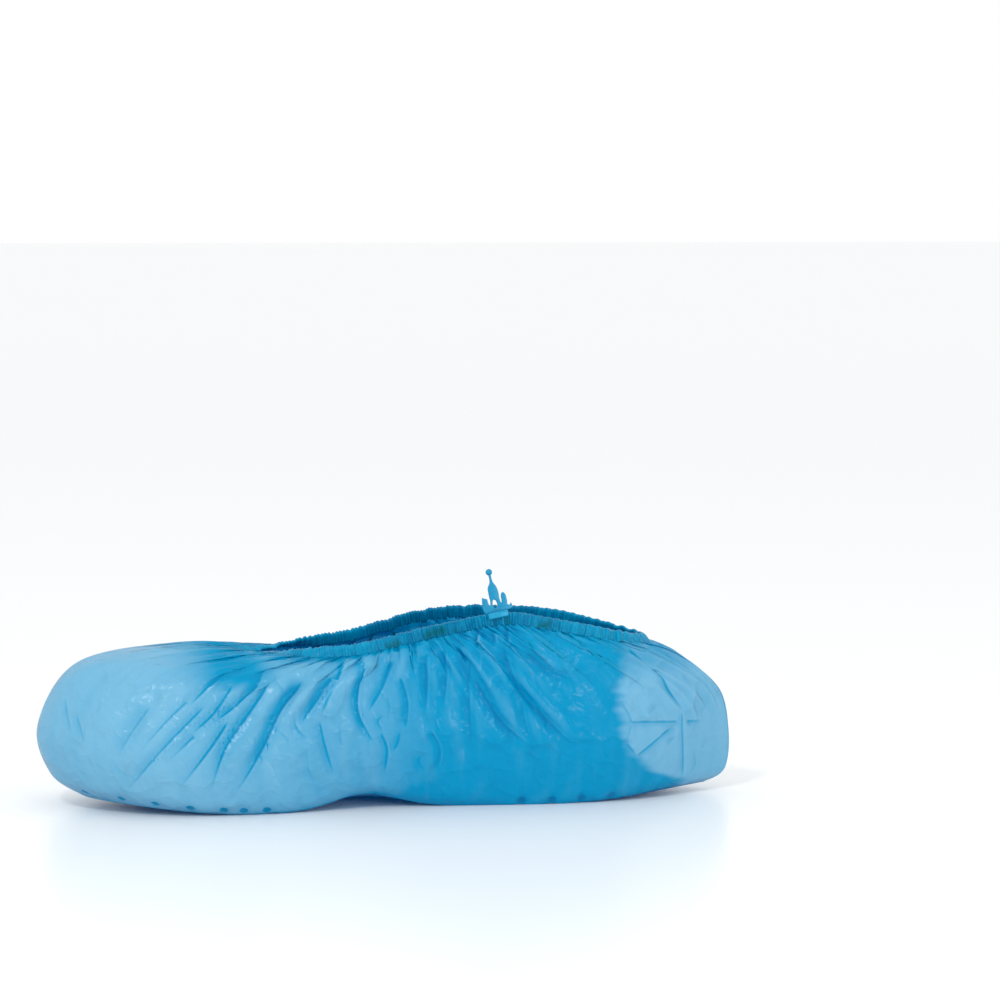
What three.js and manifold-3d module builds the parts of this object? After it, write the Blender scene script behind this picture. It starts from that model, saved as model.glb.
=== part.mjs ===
// Disposable shoe cover with a dispenser clip, in the form a shoe gives it.
// Millimetres. +X runs from the heel to the toe, +Y to the side that carries the clip, +Z up.
// The origin is on the floor, in the middle of the cover's outline.

import * as THREE from 'three';
import { ParametricGeometry } from 'three/addons/geometries/ParametricGeometry.js';
import { mergeVertices } from 'three/addons/utils/BufferGeometryUtils.js';
import Module from 'manifold-3d';

const wasm = await Module();
wasm.setup();

// ---------------------------------------------------------------- driving sizes

const FILM_WALL = 1.2;
const GAP = 0.3;
const ROUND = 104;       // steps around the mouth
const DOWN = 18;         // steps from the mouth to the middle of the sole

const HEM_HEIGHT = 6;
const HEM_LEG = 1.0;     // each leg of the folded hem
const CHANNEL = 2.0;     // clear width between the legs
const ELASTIC = 1.0;     // diameter of the elastic
const HEM_ROUND = 96;

const GATHERS = 30;      // pleats that the elastic draws up around the mouth
const GATHER_DEPTH = 1.8;

// The bag is lofted through rings that go round the foot, from the mouth down and under the sole.
// front, back: the ring's ends along X. half, height: half-width and height at five even shares of
// its length, toe end first. nose, stern: the lengths over which the ends close. point: 0.5 for a
// round heel end, 1 for one drawn to an upright edge like a boat's stern. lead: how far the lines
// of pull from the mouth have swung towards the heel where they cross the ring.
const RINGS = [
  { name: 'hem_top', front: 76, back: -134, nose: 46, stern: 38, point: 0.5, lead: 0,
    half: [16, 30, 36, 35.5, 28], height: [77, 82.5, 94.5, 94.5, 83] },
  { name: 'mouth', front: 81, back: -138, nose: 46, stern: 38, point: 0.5, lead: 0,
    half: [18, 31, 37, 36.5, 28], height: [79, 77.5, 88.5, 88.5, 79.5] },
  { name: 'crown', front: 113, back: -153, nose: 50, stern: 46, point: 0.75, lead: 0.4,
    half: [24, 38, 40.5, 40, 26], height: [82, 74, 80, 80, 73] },
  { name: 'shoulder', front: 161, back: -175, nose: 62, stern: 66, point: 1, lead: 0.8,
    half: [38, 46, 42, 41.5, 33], height: [73, 62, 62, 60, 55] },
  { name: 'belly', front: 181, back: -181, nose: 78, stern: 76, point: 1, lead: 1,
    half: [50, 56, 44.5, 43.5, 36], height: [42, 34, 36, 36, 32] },
  { name: 'ankle_of_sole', front: 175, back: -179, nose: 72, stern: 76, point: 1, lead: 1,
    half: [47, 53, 40, 39, 31], height: [17, 8, 9, 8, 11] },
  { name: 'sole_edge', front: 160, back: -168, nose: 64, stern: 64, point: 1, lead: 1,
    half: [41, 47, 34, 36, 23], height: [6, 0, 0, 0, 4] },
];
const SPINE = { front: 123, back: -113, lead: 1, height: [0, 0, 0, 0, 0] };
const SWING = 0.14;      // the most that a line of pull swings, as a share of the ring's length

// Places on the clip side where the rings rise: the hollow of the foot's inner side, and the peak
// of the mouth behind the clip. rings: how much of the lift each ring takes.
const LIFTS = [
  { x: 16, reach: 23, lift: 8, rings: { ankle_of_sole: 0.8, sole_edge: 1 } },
  { x: -57, reach: 22, lift: 4, rings: { hem_top: 1, mouth: 1, crown: 0.5 } },
];

// Folds of the loose film. side: +1 clip side, -1 other side. from, to: X at the mouth and at the
// sole. top, foot: where the fold starts and ends, as shares of the way down. depth: inwards.
const FOLDS = [
  { side: 1, from: 67, to: 117, top: 0.02, foot: 0.62, width: 6, depth: 3.6 },
  { side: 1, from: 45, to: 89, top: 0.04, foot: 0.72, width: 6, depth: 3.9 },
  { side: 1, from: 23, to: 53, top: 0.08, foot: 0.70, width: 6, depth: 4.2 },
  { side: 1, from: -3, to: 9, top: 0.05, foot: 0.74, width: 6, depth: 3.9 },
  { side: 1, from: -29, to: -33, top: 0.10, foot: 0.60, width: 6, depth: 3.3 },
  { side: 1, from: -61, to: -87, top: 0.05, foot: 0.66, width: 6, depth: 3.9 },
  { side: 1, from: -107, to: -147, top: 0.10, foot: 0.60, width: 6, depth: 3.6 },
  { side: -1, from: 61, to: 105, top: 0.03, foot: 0.66, width: 6, depth: 3.6 },
  { side: -1, from: 31, to: 65, top: 0.05, foot: 0.70, width: 6, depth: 3.9 },
  { side: -1, from: -9, to: -1, top: 0.06, foot: 0.66, width: 6, depth: 3.6 },
  { side: -1, from: -55, to: -73, top: 0.05, foot: 0.64, width: 6, depth: 3.6 },
  { side: -1, from: -103, to: -143, top: 0.08, foot: 0.62, width: 6, depth: 3.6 },
];

const CLIP = {
  x: -52,                // where it grips the hem
  clearance: 0.6,        // to the curved hem
  thick: 1.8,
  width: 13.6,
  lean: 5,               // degrees towards the toe
  stand: 0.65,           // how far the leaning plate's foot stands above the bridge's underside
  lug: [[6.2, 0], [7.9, 0.7], [7.7, 3.2], [6.3, 2.2]],
  rightProng: [[6, 5], [5.6, 8.2], [4.6, 9.2], [3.6, 8.2], [3.3, 5.2], [2.9, 4.2]],
  body: [
    [2.5, 5.2], [2.5, 10.2], [1.9, 13], [0.8, 15.4], [0.6, 20],
    [-0.6, 20], [-0.8, 15.4], [-2.3, 12.8], [-2.6, 9.8], [-2.7, 4.6],
  ],
  leftProng: [[-3.2, 3.6], [-3.7, 4.6], [-3.9, 7.2], [-6.4, 8.4], [-7, 4.4], [-7, 1.2], [-6.2, 0]],
  ballHeight: 20,
  ballRadius: 1.7,
  window: { middle: -0.5, width: 1.7, low: 1.9, high: 6.2 },
  bridge: 1.2,           // how thick it is over the hem
  cheek: 11.6,           // width of the cheek behind the hem
  barHeight: 3,
  barWidth: 9.6,
  barThick: 1.4,
};

// ---------------------------------------------------------------- finishes

const plastic = (color, roughness) => new THREE.MeshStandardMaterial({ color, roughness, metalness: 0 });
const filmFinish = plastic(0x5fb4e0, 0.35);
const hemFinish = plastic(0x0a8fc8, 0.4);
const elasticFinish = plastic(0x0a5560, 0.7);
const clipFinish = plastic(0x0a93d2, 0.3);

// ---------------------------------------------------------------- the bag's form

const clamp01 = (value) => Math.min(1, Math.max(0, value));

// Smooth curve through evenly spaced values, at a share of the way along them.
function along(values, share) {
  const last = values.length - 1;
  const place = clamp01(share) * last;
  const index = Math.min(last - 1, Math.floor(place));
  const at = (offset) => values[Math.min(last, Math.max(0, index + offset))];
  return catmullRom(at(-1), at(0), at(1), at(2), place - index);
}

function catmullRom(before, start, end, after, share) {
  const leave = (end - before) / 2;
  const arrive = (after - start) / 2;
  const square = share * share;
  const cube = square * share;
  return (2 * start - 2 * end + leave + arrive) * cube
    + (3 * end - 3 * start - 2 * leave - arrive) * square + leave * share + start;
}

// How far an end of a ring has closed, from 0 at its tip to 1.
const endClose = (share, point) => (1 - (1 - clamp01(share)) ** 2) ** point;

// A bell curve, 1 at its middle.
const bell = (distance, reach) => Math.exp(-((distance / reach) ** 2));

function liftOf(ring, x, side) {
  if (side < 0) return 0;
  return LIFTS.reduce((sum, { lift, reach, rings, x: middle }) => (
    sum + lift * (rings[ring.name] ?? 0) * bell(x - middle, reach)), 0);
}

// How far along a ring, from 0 at the toe to 1 at the heel, a line of pull crosses it. The angle
// is 0 at the toe, PI at the heel and PI/2 on the clip side.
function shareAlong(ring, angle) {
  const even = (1 - Math.cos(angle)) / 2;
  return even + SWING * ring.lead * Math.sin(Math.PI * even);
}

function ringPoint(ring, angle) {
  const share = shareAlong(ring, angle);
  const x = THREE.MathUtils.lerp(ring.front, ring.back, share);
  const close = endClose((ring.front - x) / ring.nose, 0.5)
    * endClose((x - ring.back) / ring.stern, ring.point);
  const side = Math.sign(Math.sin(angle));
  const height = Math.max(0, along(ring.height, share)) + liftOf(ring, x, side) * close;
  return new THREE.Vector3(x, along(ring.half, share) * close * side, height);
}

// The middle of the sole, where both sides of the bag meet.
function spinePoint(angle) {
  const share = shareAlong(SPINE, Math.min(angle, 2 * Math.PI - angle));
  const x = THREE.MathUtils.lerp(SPINE.front, SPINE.back, share);
  return new THREE.Vector3(x, 0, Math.max(0, along(SPINE.height, share)));
}

const [HEM_TOP, ...BAG_RINGS] = RINGS;
const SOLE_SHARE = 0.8;  // the last ring, the sole's edge, is this far down

// Steps around the mouth are spread so that the ends keep their round form.
const angleOf = (round) => 2 * Math.PI * round;

// The smooth bag: round 0..1 goes about the mouth, down 0..1 from the mouth to the sole's middle.
function smoothPoint(round, down) {
  const angle = angleOf(round);
  const points = BAG_RINGS.map((ring) => ringPoint(ring, angle));
  const edge = points[points.length - 1];
  if (down >= SOLE_SHARE) {
    return edge.clone().lerp(spinePoint(angle), (down - SOLE_SHARE) / (1 - SOLE_SHARE));
  }
  const share = down / SOLE_SHARE;
  const read = (axis) => along(points.map((point) => point[axis]), share);
  return new THREE.Vector3(read('x'), read('y'), Math.max(0, read('z')));
}

const smoothStep = (from, to, value) => THREE.MathUtils.smoothstep(value, from, to);

// How far the film stands in from the smooth bag: pleats at the mouth, and the longer folds.
function foldDepth(point, round, down) {
  const flat = point.y > 0 ? bell(point.x - CLIP.x, CLIP.width) : 0;
  const calm = (1 - smoothStep(0.05, 0.55, down)) * (1 - flat);
  let depth = GATHER_DEPTH * calm * (0.5 - 0.5 * Math.cos(2 * Math.PI * GATHERS * round));
  for (const fold of FOLDS) {
    if (Math.sign(point.y) !== fold.side) continue;
    const middle = THREE.MathUtils.lerp(fold.from, fold.to, clamp01(down / fold.foot));
    const window = smoothStep(0, fold.top + 0.05, down)
      * (1 - smoothStep(fold.foot - 0.2, fold.foot, down));
    depth += fold.depth * window * bell(point.x - middle, fold.width);
  }
  return depth;
}

const STEP = 1e-3;

// The hem stands on the mouth and leans to its own top ring: the way up it, and the way out of it.
function hemLean(round) {
  const ahead = ringPoint(HEM_TOP, angleOf(round + STEP));
  const around = ahead.sub(ringPoint(HEM_TOP, angleOf(round - STEP))).normalize();
  const up = ringPoint(HEM_TOP, angleOf(round)).sub(smoothPoint(round, 0));
  up.addScaledVector(around, -up.dot(around)).normalize();
  return { up, out: around.cross(up).normalize() };
}

// Outward direction of the smooth bag. Along the middle of the sole it is straight down.
function outward(round, down) {
  if (down === 0) return hemLean(round).out;
  if (down === 1) return new THREE.Vector3(0, 0, -1);
  const inner = Math.min(1 - 2 * STEP, Math.max(STEP, down));
  const around = smoothPoint(round + STEP, inner).sub(smoothPoint(round - STEP, inner));
  const downward = smoothPoint(round, inner + STEP).sub(smoothPoint(round, inner - STEP));
  return downward.cross(around).normalize();
}

// A point of the film, so far in from its outer face.
function filmPoint(round, down, inset) {
  const point = smoothPoint(round, down);
  const depth = foldDepth(point, round, down) + inset;
  return point.addScaledVector(outward(round, down), -depth);
}

// ---------------------------------------------------------------- closed solids

// One closed body from a surface whose edges meet themselves, with its faces turned outwards.
function closedBody(surface, slices, stacks) {
  let geometry = new ParametricGeometry(surface, slices, stacks);
  geometry.deleteAttribute('normal');
  geometry.deleteAttribute('uv');
  geometry = mergeVertices(geometry, STEP);
  dropFlatFaces(geometry);
  if (signedVolume(geometry) < 0) flip(geometry);
  geometry.computeVertexNormals();
  return geometry;
}

// Takes out triangles that merging has closed up.
function dropFlatFaces(geometry) {
  const kept = [];
  const index = geometry.index.array;
  for (let i = 0; i < index.length; i += 3) {
    const [a, b, c] = [index[i], index[i + 1], index[i + 2]];
    if (a !== b && b !== c && c !== a) kept.push(a, b, c);
  }
  geometry.setIndex(kept);
}

function signedVolume(geometry) {
  const { index, attributes } = geometry;
  const corner = (i) => new THREE.Vector3().fromBufferAttribute(attributes.position, index.getX(i));
  let volume = 0;
  for (let i = 0; i < geometry.index.count; i += 3) {
    volume += corner(i).dot(corner(i + 1).cross(corner(i + 2))) / 6;
  }
  return volume;
}

function flip(geometry) {
  const index = geometry.index.array;
  for (let i = 0; i < index.length; i += 3) [index[i], index[i + 1]] = [index[i + 1], index[i]];
}

function toSolid(geometry) {
  const plain = geometry.index ? geometry.clone() : geometry;
  plain.deleteAttribute('normal');
  plain.deleteAttribute('uv');
  const merged = mergeVertices(plain, 1e-4);
  return new wasm.Manifold(new wasm.Mesh({
    numProp: 3,
    vertProperties: new Float32Array(merged.attributes.position.array),
    triVerts: new Uint32Array(merged.index.array),
  }));
}

function toGeometry(solid) {
  const mesh = solid.getMesh();
  const geometry = new THREE.BufferGeometry();
  geometry.setAttribute('position', new THREE.BufferAttribute(mesh.vertProperties, 3));
  geometry.setIndex(new THREE.BufferAttribute(mesh.triVerts, 1));
  geometry.computeVertexNormals();
  return geometry;
}

function named(name, geometry, material) {
  const mesh = new THREE.Mesh(geometry, material);
  mesh.name = name;
  return mesh;
}

// ---------------------------------------------------------------- film bag

// Outer face from the sole up to the mouth, over the film's edge, and down the inner face.
function filmBag() {
  const rows = 2 * DOWN + 1;
  const surface = (round, across, target) => {
    const row = Math.round(across * rows);
    const outer = row <= DOWN;
    const down = outer ? 1 - row / DOWN : (row - DOWN - 1) / DOWN;
    target.copy(filmPoint(round, down, outer ? 0 : FILM_WALL));
  };
  return named('film_bag', closedBody(surface, ROUND, rows), filmFinish);
}

// ---------------------------------------------------------------- hem and elastic

// Frame of the hem at a place around the mouth: its foot, the way up it, and the way out of it.
const hemFrame = (round) => ({ foot: filmPoint(round, 0, FILM_WALL / 2), ...hemLean(round) });

// The hem is the film's edge folded over the elastic: a channel open at its foot.
function openingHem() {
  const reach = CHANNEL / 2 + HEM_LEG;
  const roof = HEM_HEIGHT - HEM_LEG;
  const section = [
    [GAP, reach], [roof, reach], [HEM_HEIGHT, reach - HEM_LEG], [HEM_HEIGHT, HEM_LEG - reach],
    [roof, -reach], [GAP, -reach], [GAP, -CHANNEL / 2], [roof, -CHANNEL / 2], [roof, CHANNEL / 2],
    [GAP, CHANNEL / 2],
  ];
  const surface = (round, across, target) => {
    const [rise, aside] = section[Math.round(across * section.length) % section.length];
    const { foot, up, out } = hemFrame(round);
    target.copy(foot).addScaledVector(up, rise).addScaledVector(out, aside);
  };
  return named('opening_hem', closedBody(surface, HEM_ROUND, section.length), hemFinish);
}

function elasticBand() {
  const sides = 6;
  const middle = HEM_HEIGHT - HEM_LEG - GAP - ELASTIC / 2;
  const surface = (round, across, target) => {
    const turn = 2 * Math.PI * across;
    const { foot, up, out } = hemFrame(round);
    target.copy(foot).addScaledVector(up, middle + Math.cos(turn) * ELASTIC / 2)
      .addScaledVector(out, Math.sin(turn) * ELASTIC / 2);
  };
  return named('elastic_band', closedBody(surface, HEM_ROUND, sides), elasticFinish);
}

// ---------------------------------------------------------------- dispenser clip

const asPoints = corners => corners.map(([across, up]) => new THREE.Vector2(across, up));

// Outline of the flat moulding: lug, right prong, body that narrows to the stem, and left prong.
function clipOutline() {
  const { lug, rightProng, body, leftProng } = CLIP;
  return new THREE.Shape(asPoints([...lug, ...rightProng, ...body, ...leftProng]));
}

function windowPath({ middle, width, low, high }) {
  const [left, right] = [middle - width / 2, middle + width / 2];
  return new THREE.Path(asPoints([[left, low], [left, high], [right, high], [right, low]]));
}

function plate(shape, thick) {
  const geometry = new THREE.ExtrudeGeometry(shape, { depth: thick, bevelEnabled: false });
  return geometry.translate(0, 0, -thick / 2);
}

// The clip is modelled flat, X across, Y up and Z out, then stood on the hem.
function clipPlacement() {
  const share = (HEM_TOP.front - CLIP.x) / (HEM_TOP.front - HEM_TOP.back);
  const round = Math.acos(1 - 2 * share) / (2 * Math.PI);
  const { foot, up, out } = hemFrame(round);
  const across = up.clone().cross(out).normalize();
  const origin = foot.addScaledVector(up, HEM_HEIGHT + CLIP.clearance);
  return new THREE.Matrix4().makeBasis(across, up, out).setPosition(origin);
}

function clipBody(placement) {
  const { thick, ballRadius, ballHeight, barHeight, clearance } = CLIP;
  const shape = clipOutline();
  shape.holes.push(windowPath(CLIP.window));
  const lean = THREE.MathUtils.degToRad(CLIP.lean);
  const leaning = geometry => toSolid(geometry.rotateZ(lean).translate(0, CLIP.stand, 0));
  const ball = new THREE.SphereGeometry(ballRadius, 14, 10).translate(0, ballHeight, 0);
  const reach = CHANNEL / 2 + HEM_LEG + clearance;
  const cheek = new THREE.BoxGeometry(CLIP.cheek, barHeight + GAP + CLIP.bridge, HEM_LEG)
    .translate(0, (CLIP.bridge - barHeight - GAP) / 2, -reach - HEM_LEG / 2);
  const bridge = new THREE.BoxGeometry(CLIP.cheek, CLIP.bridge, reach + HEM_LEG)
    .translate(0, CLIP.bridge / 2, -(reach + HEM_LEG) / 2);
  const solid = [cheek, bridge].map(toSolid)
    .reduce((sum, piece) => sum.add(piece), leaning(plate(shape, thick)).add(leaning(ball)));
  return named('clip_body', toGeometry(solid).applyMatrix4(placement), clipFinish);
}

function clipBar(placement) {
  const { barWidth, barHeight, barThick, clearance } = CLIP;
  const reach = CHANNEL / 2 + HEM_LEG + clearance;
  const bar = new THREE.BoxGeometry(barWidth, barHeight, barThick)
    .translate(0, -barHeight / 2 - GAP, reach + barThick / 2);
  return named('clip_clamp_bar', toGeometry(toSolid(bar)).applyMatrix4(placement), clipFinish);
}

// ---------------------------------------------------------------- assembly

const shoeCover = new THREE.Group();
const placement = clipPlacement();
shoeCover.add(filmBag(), openingHem(), elasticBand(), clipBody(placement), clipBar(placement));

export default shoeCover;
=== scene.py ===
"""Disposable film shoe cover in the form a shoe gives it, resting on a pale floor.

The film starts as the smooth worn bag. A small solver lets its surplus buckle between folds whose
places are charted, and creases and gathers are pressed in afterwards. Sizes are in millimetres and
become metres when a mesh is made.
"""

import logging
import math
from dataclasses import dataclass, field
from enum import Enum
from typing import Any, Sequence

import bmesh
import bpy
import numpy as np
from mathutils import Matrix, Vector


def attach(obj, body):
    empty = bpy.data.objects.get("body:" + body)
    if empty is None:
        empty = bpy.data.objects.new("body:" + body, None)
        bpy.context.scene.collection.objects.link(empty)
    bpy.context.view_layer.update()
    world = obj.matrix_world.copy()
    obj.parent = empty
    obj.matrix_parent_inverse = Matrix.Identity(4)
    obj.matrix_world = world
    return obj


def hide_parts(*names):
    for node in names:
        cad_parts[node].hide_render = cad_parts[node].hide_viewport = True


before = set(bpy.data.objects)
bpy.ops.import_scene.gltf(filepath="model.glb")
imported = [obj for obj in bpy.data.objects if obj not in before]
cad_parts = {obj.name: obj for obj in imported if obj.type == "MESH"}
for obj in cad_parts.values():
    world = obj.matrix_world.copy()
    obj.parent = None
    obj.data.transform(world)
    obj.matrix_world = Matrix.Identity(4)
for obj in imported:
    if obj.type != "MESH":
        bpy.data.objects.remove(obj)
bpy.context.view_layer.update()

METRES = 0.001
CRUMPLE_SEED = 5
LOG = logging.getLogger("shoe_cover")

Array = np.ndarray


# ------------------------------------------------------------------ small numeric helpers


def unit(vectors: Array) -> Array:
    """Vectors scaled to length one.

    Args:
        vectors: Array whose last axis holds the components.

    Returns:
        Array of the same shape.
    """
    length = np.linalg.norm(vectors, axis=-1, keepdims=True)
    return vectors / np.maximum(length, 1e-9)


def smooth_step(low: float, high: float, value: Array) -> Array:
    """Smooth rise from 0 at low to 1 at high, by the cubic 3t^2 - 2t^3."""
    share = np.clip((value - low) / (high - low), 0.0, 1.0)
    return share * share * (3.0 - 2.0 * share)


def bell(distance: Array, reach: float) -> Array:
    """Bell curve exp(-(distance / reach)^2), which is 1 at its middle."""
    return np.exp(-((distance / reach) ** 2))


def spline(before: Array, start: Array, end: Array, after: Array, share: Array) -> Array:
    """Catmull-Rom value between start and end.

    Args:
        before: Value one step before start.
        start: Value at share 0.
        end: Value at share 1.
        after: Value one step after end.
        share: Place between start and end.

    Returns:
        The cubic that leaves start along (end - before) / 2 and meets end along
        (after - start) / 2.
    """
    leave = (end - before) / 2
    arrive = (after - start) / 2
    square = share * share
    cube = square * share
    return (
        (2 * start - 2 * end + leave + arrive) * cube
        + (3 * end - 3 * start - 2 * leave - arrive) * square
        + leave * share
        + start
    )


def along(values: Sequence[float], share: Array) -> Array:
    """Smooth curve through evenly spaced values.

    Args:
        values: Values at even shares of the way.
        share: Places to read, 0 to 1.

    Returns:
        The curve's values there.
    """
    row = np.asarray(values, dtype=float)
    last = len(row) - 1
    place = np.clip(share, 0.0, 1.0) * last
    index = np.minimum(place.astype(int), last - 1)

    def at(offset: int) -> Array:
        """Value at an offset from the span's start, held at the ends."""
        return row[np.clip(index + offset, 0, last)]

    return spline(at(-1), at(0), at(1), at(2), place - index)


def blurred(values: Array, reach: int, axis: int, wrap: bool) -> Array:
    """Moving average over 2 * reach + 1 samples, applied twice.

    Args:
        values: Array to smooth.
        reach: Samples taken on each side.
        axis: Axis to smooth along.
        wrap: Whether the axis closes on itself.

    Returns:
        Array of the same shape.
    """
    width = [(0, 0)] * values.ndim
    width[axis] = (reach + 1, reach)
    result = values
    for _ in range(2):
        padded = np.pad(result, width, mode="wrap" if wrap else "edge")
        total = np.cumsum(padded, axis=axis)
        count = values.shape[axis]
        high = np.take(total, np.arange(2 * reach + 1, 2 * reach + 1 + count), axis=axis)
        low = np.take(total, np.arange(count), axis=axis)
        result = (high - low) / (2 * reach + 1)
    return result


# ------------------------------------------------------------------ the bag's smooth form


@dataclass(frozen=True)
class Ring:
    """A ring that goes round the foot, from which the bag is lofted.

    Attributes:
        name: What the ring follows.
        front: Its toe end along X.
        back: Its heel end along X.
        nose: Length over which the toe end closes.
        stern: Length over which the heel end closes.
        point: 0.5 for a round heel end, 1 for one drawn to an upright edge.
        lead: How far the lines of pull have swung towards the heel where they cross it.
        half: Half-widths at five even shares of its length, toe end first.
        height: Heights at the same shares.
    """

    name: str
    front: float
    back: float
    nose: float
    stern: float
    point: float
    lead: float
    half: tuple[float, ...]
    height: tuple[float, ...]


@dataclass(frozen=True)
class Lift:
    """A place on the clip side where some rings rise.

    Attributes:
        x: Its middle along X.
        reach: Its half-length.
        lift: Its height.
        rings: How much of the lift each ring takes.
    """

    x: float
    reach: float
    lift: float
    rings: dict[str, float]


def default_rings() -> tuple[Ring, ...]:
    """Rings of the bag, from the top of the hem to the sole's edge."""
    return (
        Ring("hem_top", 76, -134, 46, 38, 0.5, 0,
             (16, 30, 36, 35.5, 28), (77, 82.5, 94.5, 94.5, 83)),
        Ring("mouth", 81, -138, 46, 38, 0.5, 0,
             (18, 31, 37, 36.5, 28), (79, 77.5, 88.5, 88.5, 79.5)),
        Ring("crown", 113, -153, 50, 46, 0.75, 0.4,
             (24, 38, 40.5, 40, 26), (82, 74, 80, 80, 73)),
        Ring("shoulder", 161, -175, 62, 66, 1, 0.8,
             (38, 46, 42, 41.5, 33), (73, 62, 62, 60, 55)),
        Ring("belly", 181, -181, 78, 76, 1, 1,
             (50, 56, 44.5, 43.5, 36), (42, 34, 36, 36, 32)),
        Ring("ankle_of_sole", 175, -179, 72, 76, 1, 1,
             (47, 53, 40, 39, 31), (17, 8, 9, 8, 11)),
        Ring("sole_edge", 160, -168, 64, 64, 1, 1,
             (41, 47, 34, 36, 23), (6, 0, 0, 0, 4)),
    )


def default_lifts() -> tuple[Lift, ...]:
    """The hollow of the foot's inner side, and the peak of the mouth behind the clip."""
    return (
        Lift(16, 23, 8, {"ankle_of_sole": 0.8, "sole_edge": 1.0}),
        Lift(-57, 22, 4, {"hem_top": 1.0, "mouth": 1.0, "crown": 0.5}),
    )


@dataclass
class BagForm:
    """The smooth bag, as a surface of turn, round the mouth, and down, from mouth to sole.

    Attributes:
        rings: Rings from the hem's top to the sole's edge.
        lifts: Places where rings rise on the clip side.
        spine_front: Toe end of the sole's middle line.
        spine_back: Heel end of the sole's middle line.
        spine_height: Heights of that line at even shares.
        swing: The most that a line of pull swings, as a share of a ring's length.
        rows: Grid rows between each ring and the next, mouth to sole's middle, on the fine grid.
        around: Grid columns round the mouth on the fine grid.
        spread: How much closer the columns stand on the sides than at the ends, from 0 to 1.
    """

    rings: tuple[Ring, ...] = field(default_factory=default_rings)
    lifts: tuple[Lift, ...] = field(default_factory=default_lifts)
    spine_front: float = 123.0
    spine_back: float = -113.0
    spine_height: tuple[float, ...] = (0.0, 0.0, 0.0, 0.0, 0.0)
    swing: float = 0.14
    rows: tuple[int, ...] = (24, 20, 24, 20, 8, 4)
    around: int = 736
    spread: float = 0.44

    def close(self, share: Array, point: float) -> Array:
        """How far an end of a ring has closed: (1 - (1 - share)^2) to the power point."""
        return (1.0 - (1.0 - np.clip(share, 0.0, 1.0)) ** 2) ** point

    def share_along(self, lead: float, angle: Array) -> Array:
        """Where a line of pull crosses a ring: an even cosine step plus the swing's sine."""
        even = (1.0 - np.cos(angle)) / 2.0
        return even + self.swing * lead * np.sin(np.pi * even)

    def ring_points(self, ring: Ring, angle: Array) -> Array:
        """Points of a ring.

        Args:
            ring: The ring.
            angle: 0 at the toe, pi at the heel, pi / 2 on the clip side.

        Returns:
            Array of points, one for each angle. X runs from front to back by the share along,
            Y is the half-width times both ends' closing, and Z is the height plus the lifts.
        """
        share = self.share_along(ring.lead, angle)
        x = ring.front + (ring.back - ring.front) * share
        closing = self.close((ring.front - x) / ring.nose, 0.5)
        closing = closing * self.close((x - ring.back) / ring.stern, ring.point)
        side = np.sign(np.round(np.sin(angle), 9))
        rise = sum(
            lift.lift * lift.rings.get(ring.name, 0.0) * bell(x - lift.x, lift.reach)
            for lift in self.lifts
        )
        z = np.maximum(0.0, along(ring.height, share)) + rise * closing * (side > 0)
        return np.stack([x, along(ring.half, share) * closing * side, z], axis=-1)

    def spine_points(self, angle: Array) -> Array:
        """Points of the sole's middle line, the same for both sides.

        Args:
            angle: Angles of the grid's columns.

        Returns:
            Array of points, one for each angle.
        """
        share = self.share_along(1.0, np.minimum(angle, 2.0 * np.pi - angle))
        x = self.spine_front + (self.spine_back - self.spine_front) * share
        z = np.maximum(0.0, along(self.spine_height, share))
        return np.stack([x, np.zeros_like(x), z], axis=-1)

    def angles(self, step: int) -> Array:
        """Angles of a grid's columns when every step-th fine column is kept."""
        even = 2.0 * np.pi * np.arange(0, self.around, step) / self.around
        return even + self.spread / 2.0 * np.sin(2.0 * even)

    def downs(self, step: int) -> Array:
        """How far down each grid row lies, counted in rings from the mouth."""
        spans = [index + np.arange(0, rows, step) / rows for index, rows in enumerate(self.rows)]
        return np.concatenate(spans + [np.array([float(len(self.rows))])])

    def surface(self, angle: Array, down: Array) -> Array:
        """The smooth bag on a grid.

        Args:
            angle: Angles of the columns.
            down: Places of the rows, counted in rings from the mouth.

        Returns:
            Array of rows by columns by 3. Rows run through the rings by a Catmull-Rom curve, and
            straight from the sole's edge to its middle line.
        """
        stack = np.stack([self.ring_points(ring, angle) for ring in self.rings[1:]])
        last = len(stack) - 1
        index = np.clip(down.astype(int), 0, last - 1)
        share = np.clip(down - index, 0.0, 1.0)[:, None, None]

        def at(offset: int) -> Array:
            """Ring points at an offset from each row's span."""
            return stack[np.clip(index + offset, 0, last)]

        points = spline(at(-1), at(0), at(1), at(2), share)
        under = np.clip(down - last, 0.0, 1.0)[:, None, None]
        sole = stack[last] + (self.spine_points(angle) - stack[last]) * under
        points = np.where(under > 0, sole, points)
        points[..., 2] = np.maximum(points[..., 2], 0.0)
        return points

    def hem_lean(self, angle: Array) -> tuple[Array, Array]:
        """Directions of the hem at angles round the mouth.

        Args:
            angle: Angles round the mouth.

        Returns:
            The way up the hem, square to the mouth, and the way out of it.
        """
        step = 1e-3
        ahead = self.ring_points(self.rings[0], angle + step)
        around = unit(ahead - self.ring_points(self.rings[0], angle - step))
        up = self.ring_points(self.rings[0], angle) - self.ring_points(self.rings[1], angle)
        up = unit(up - around * np.sum(up * around, axis=-1, keepdims=True))
        return up, np.cross(around, up)


def grid_normals(points: Array) -> Array:
    """Outward normals of a grid that closes around its columns.

    Args:
        points: Rows by columns by 3, rows going down.

    Returns:
        Cross product of the central differences down and around, at length one.
    """
    around = np.roll(points, -1, axis=1) - np.roll(points, 1, axis=1)
    down = np.gradient(points, axis=0)
    return unit(np.cross(down, around))


# ------------------------------------------------------------------ charted folds


class Side(Enum):
    """Side of the bag, as the sign of Y."""

    CLIP = 1
    OTHER = -1


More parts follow.
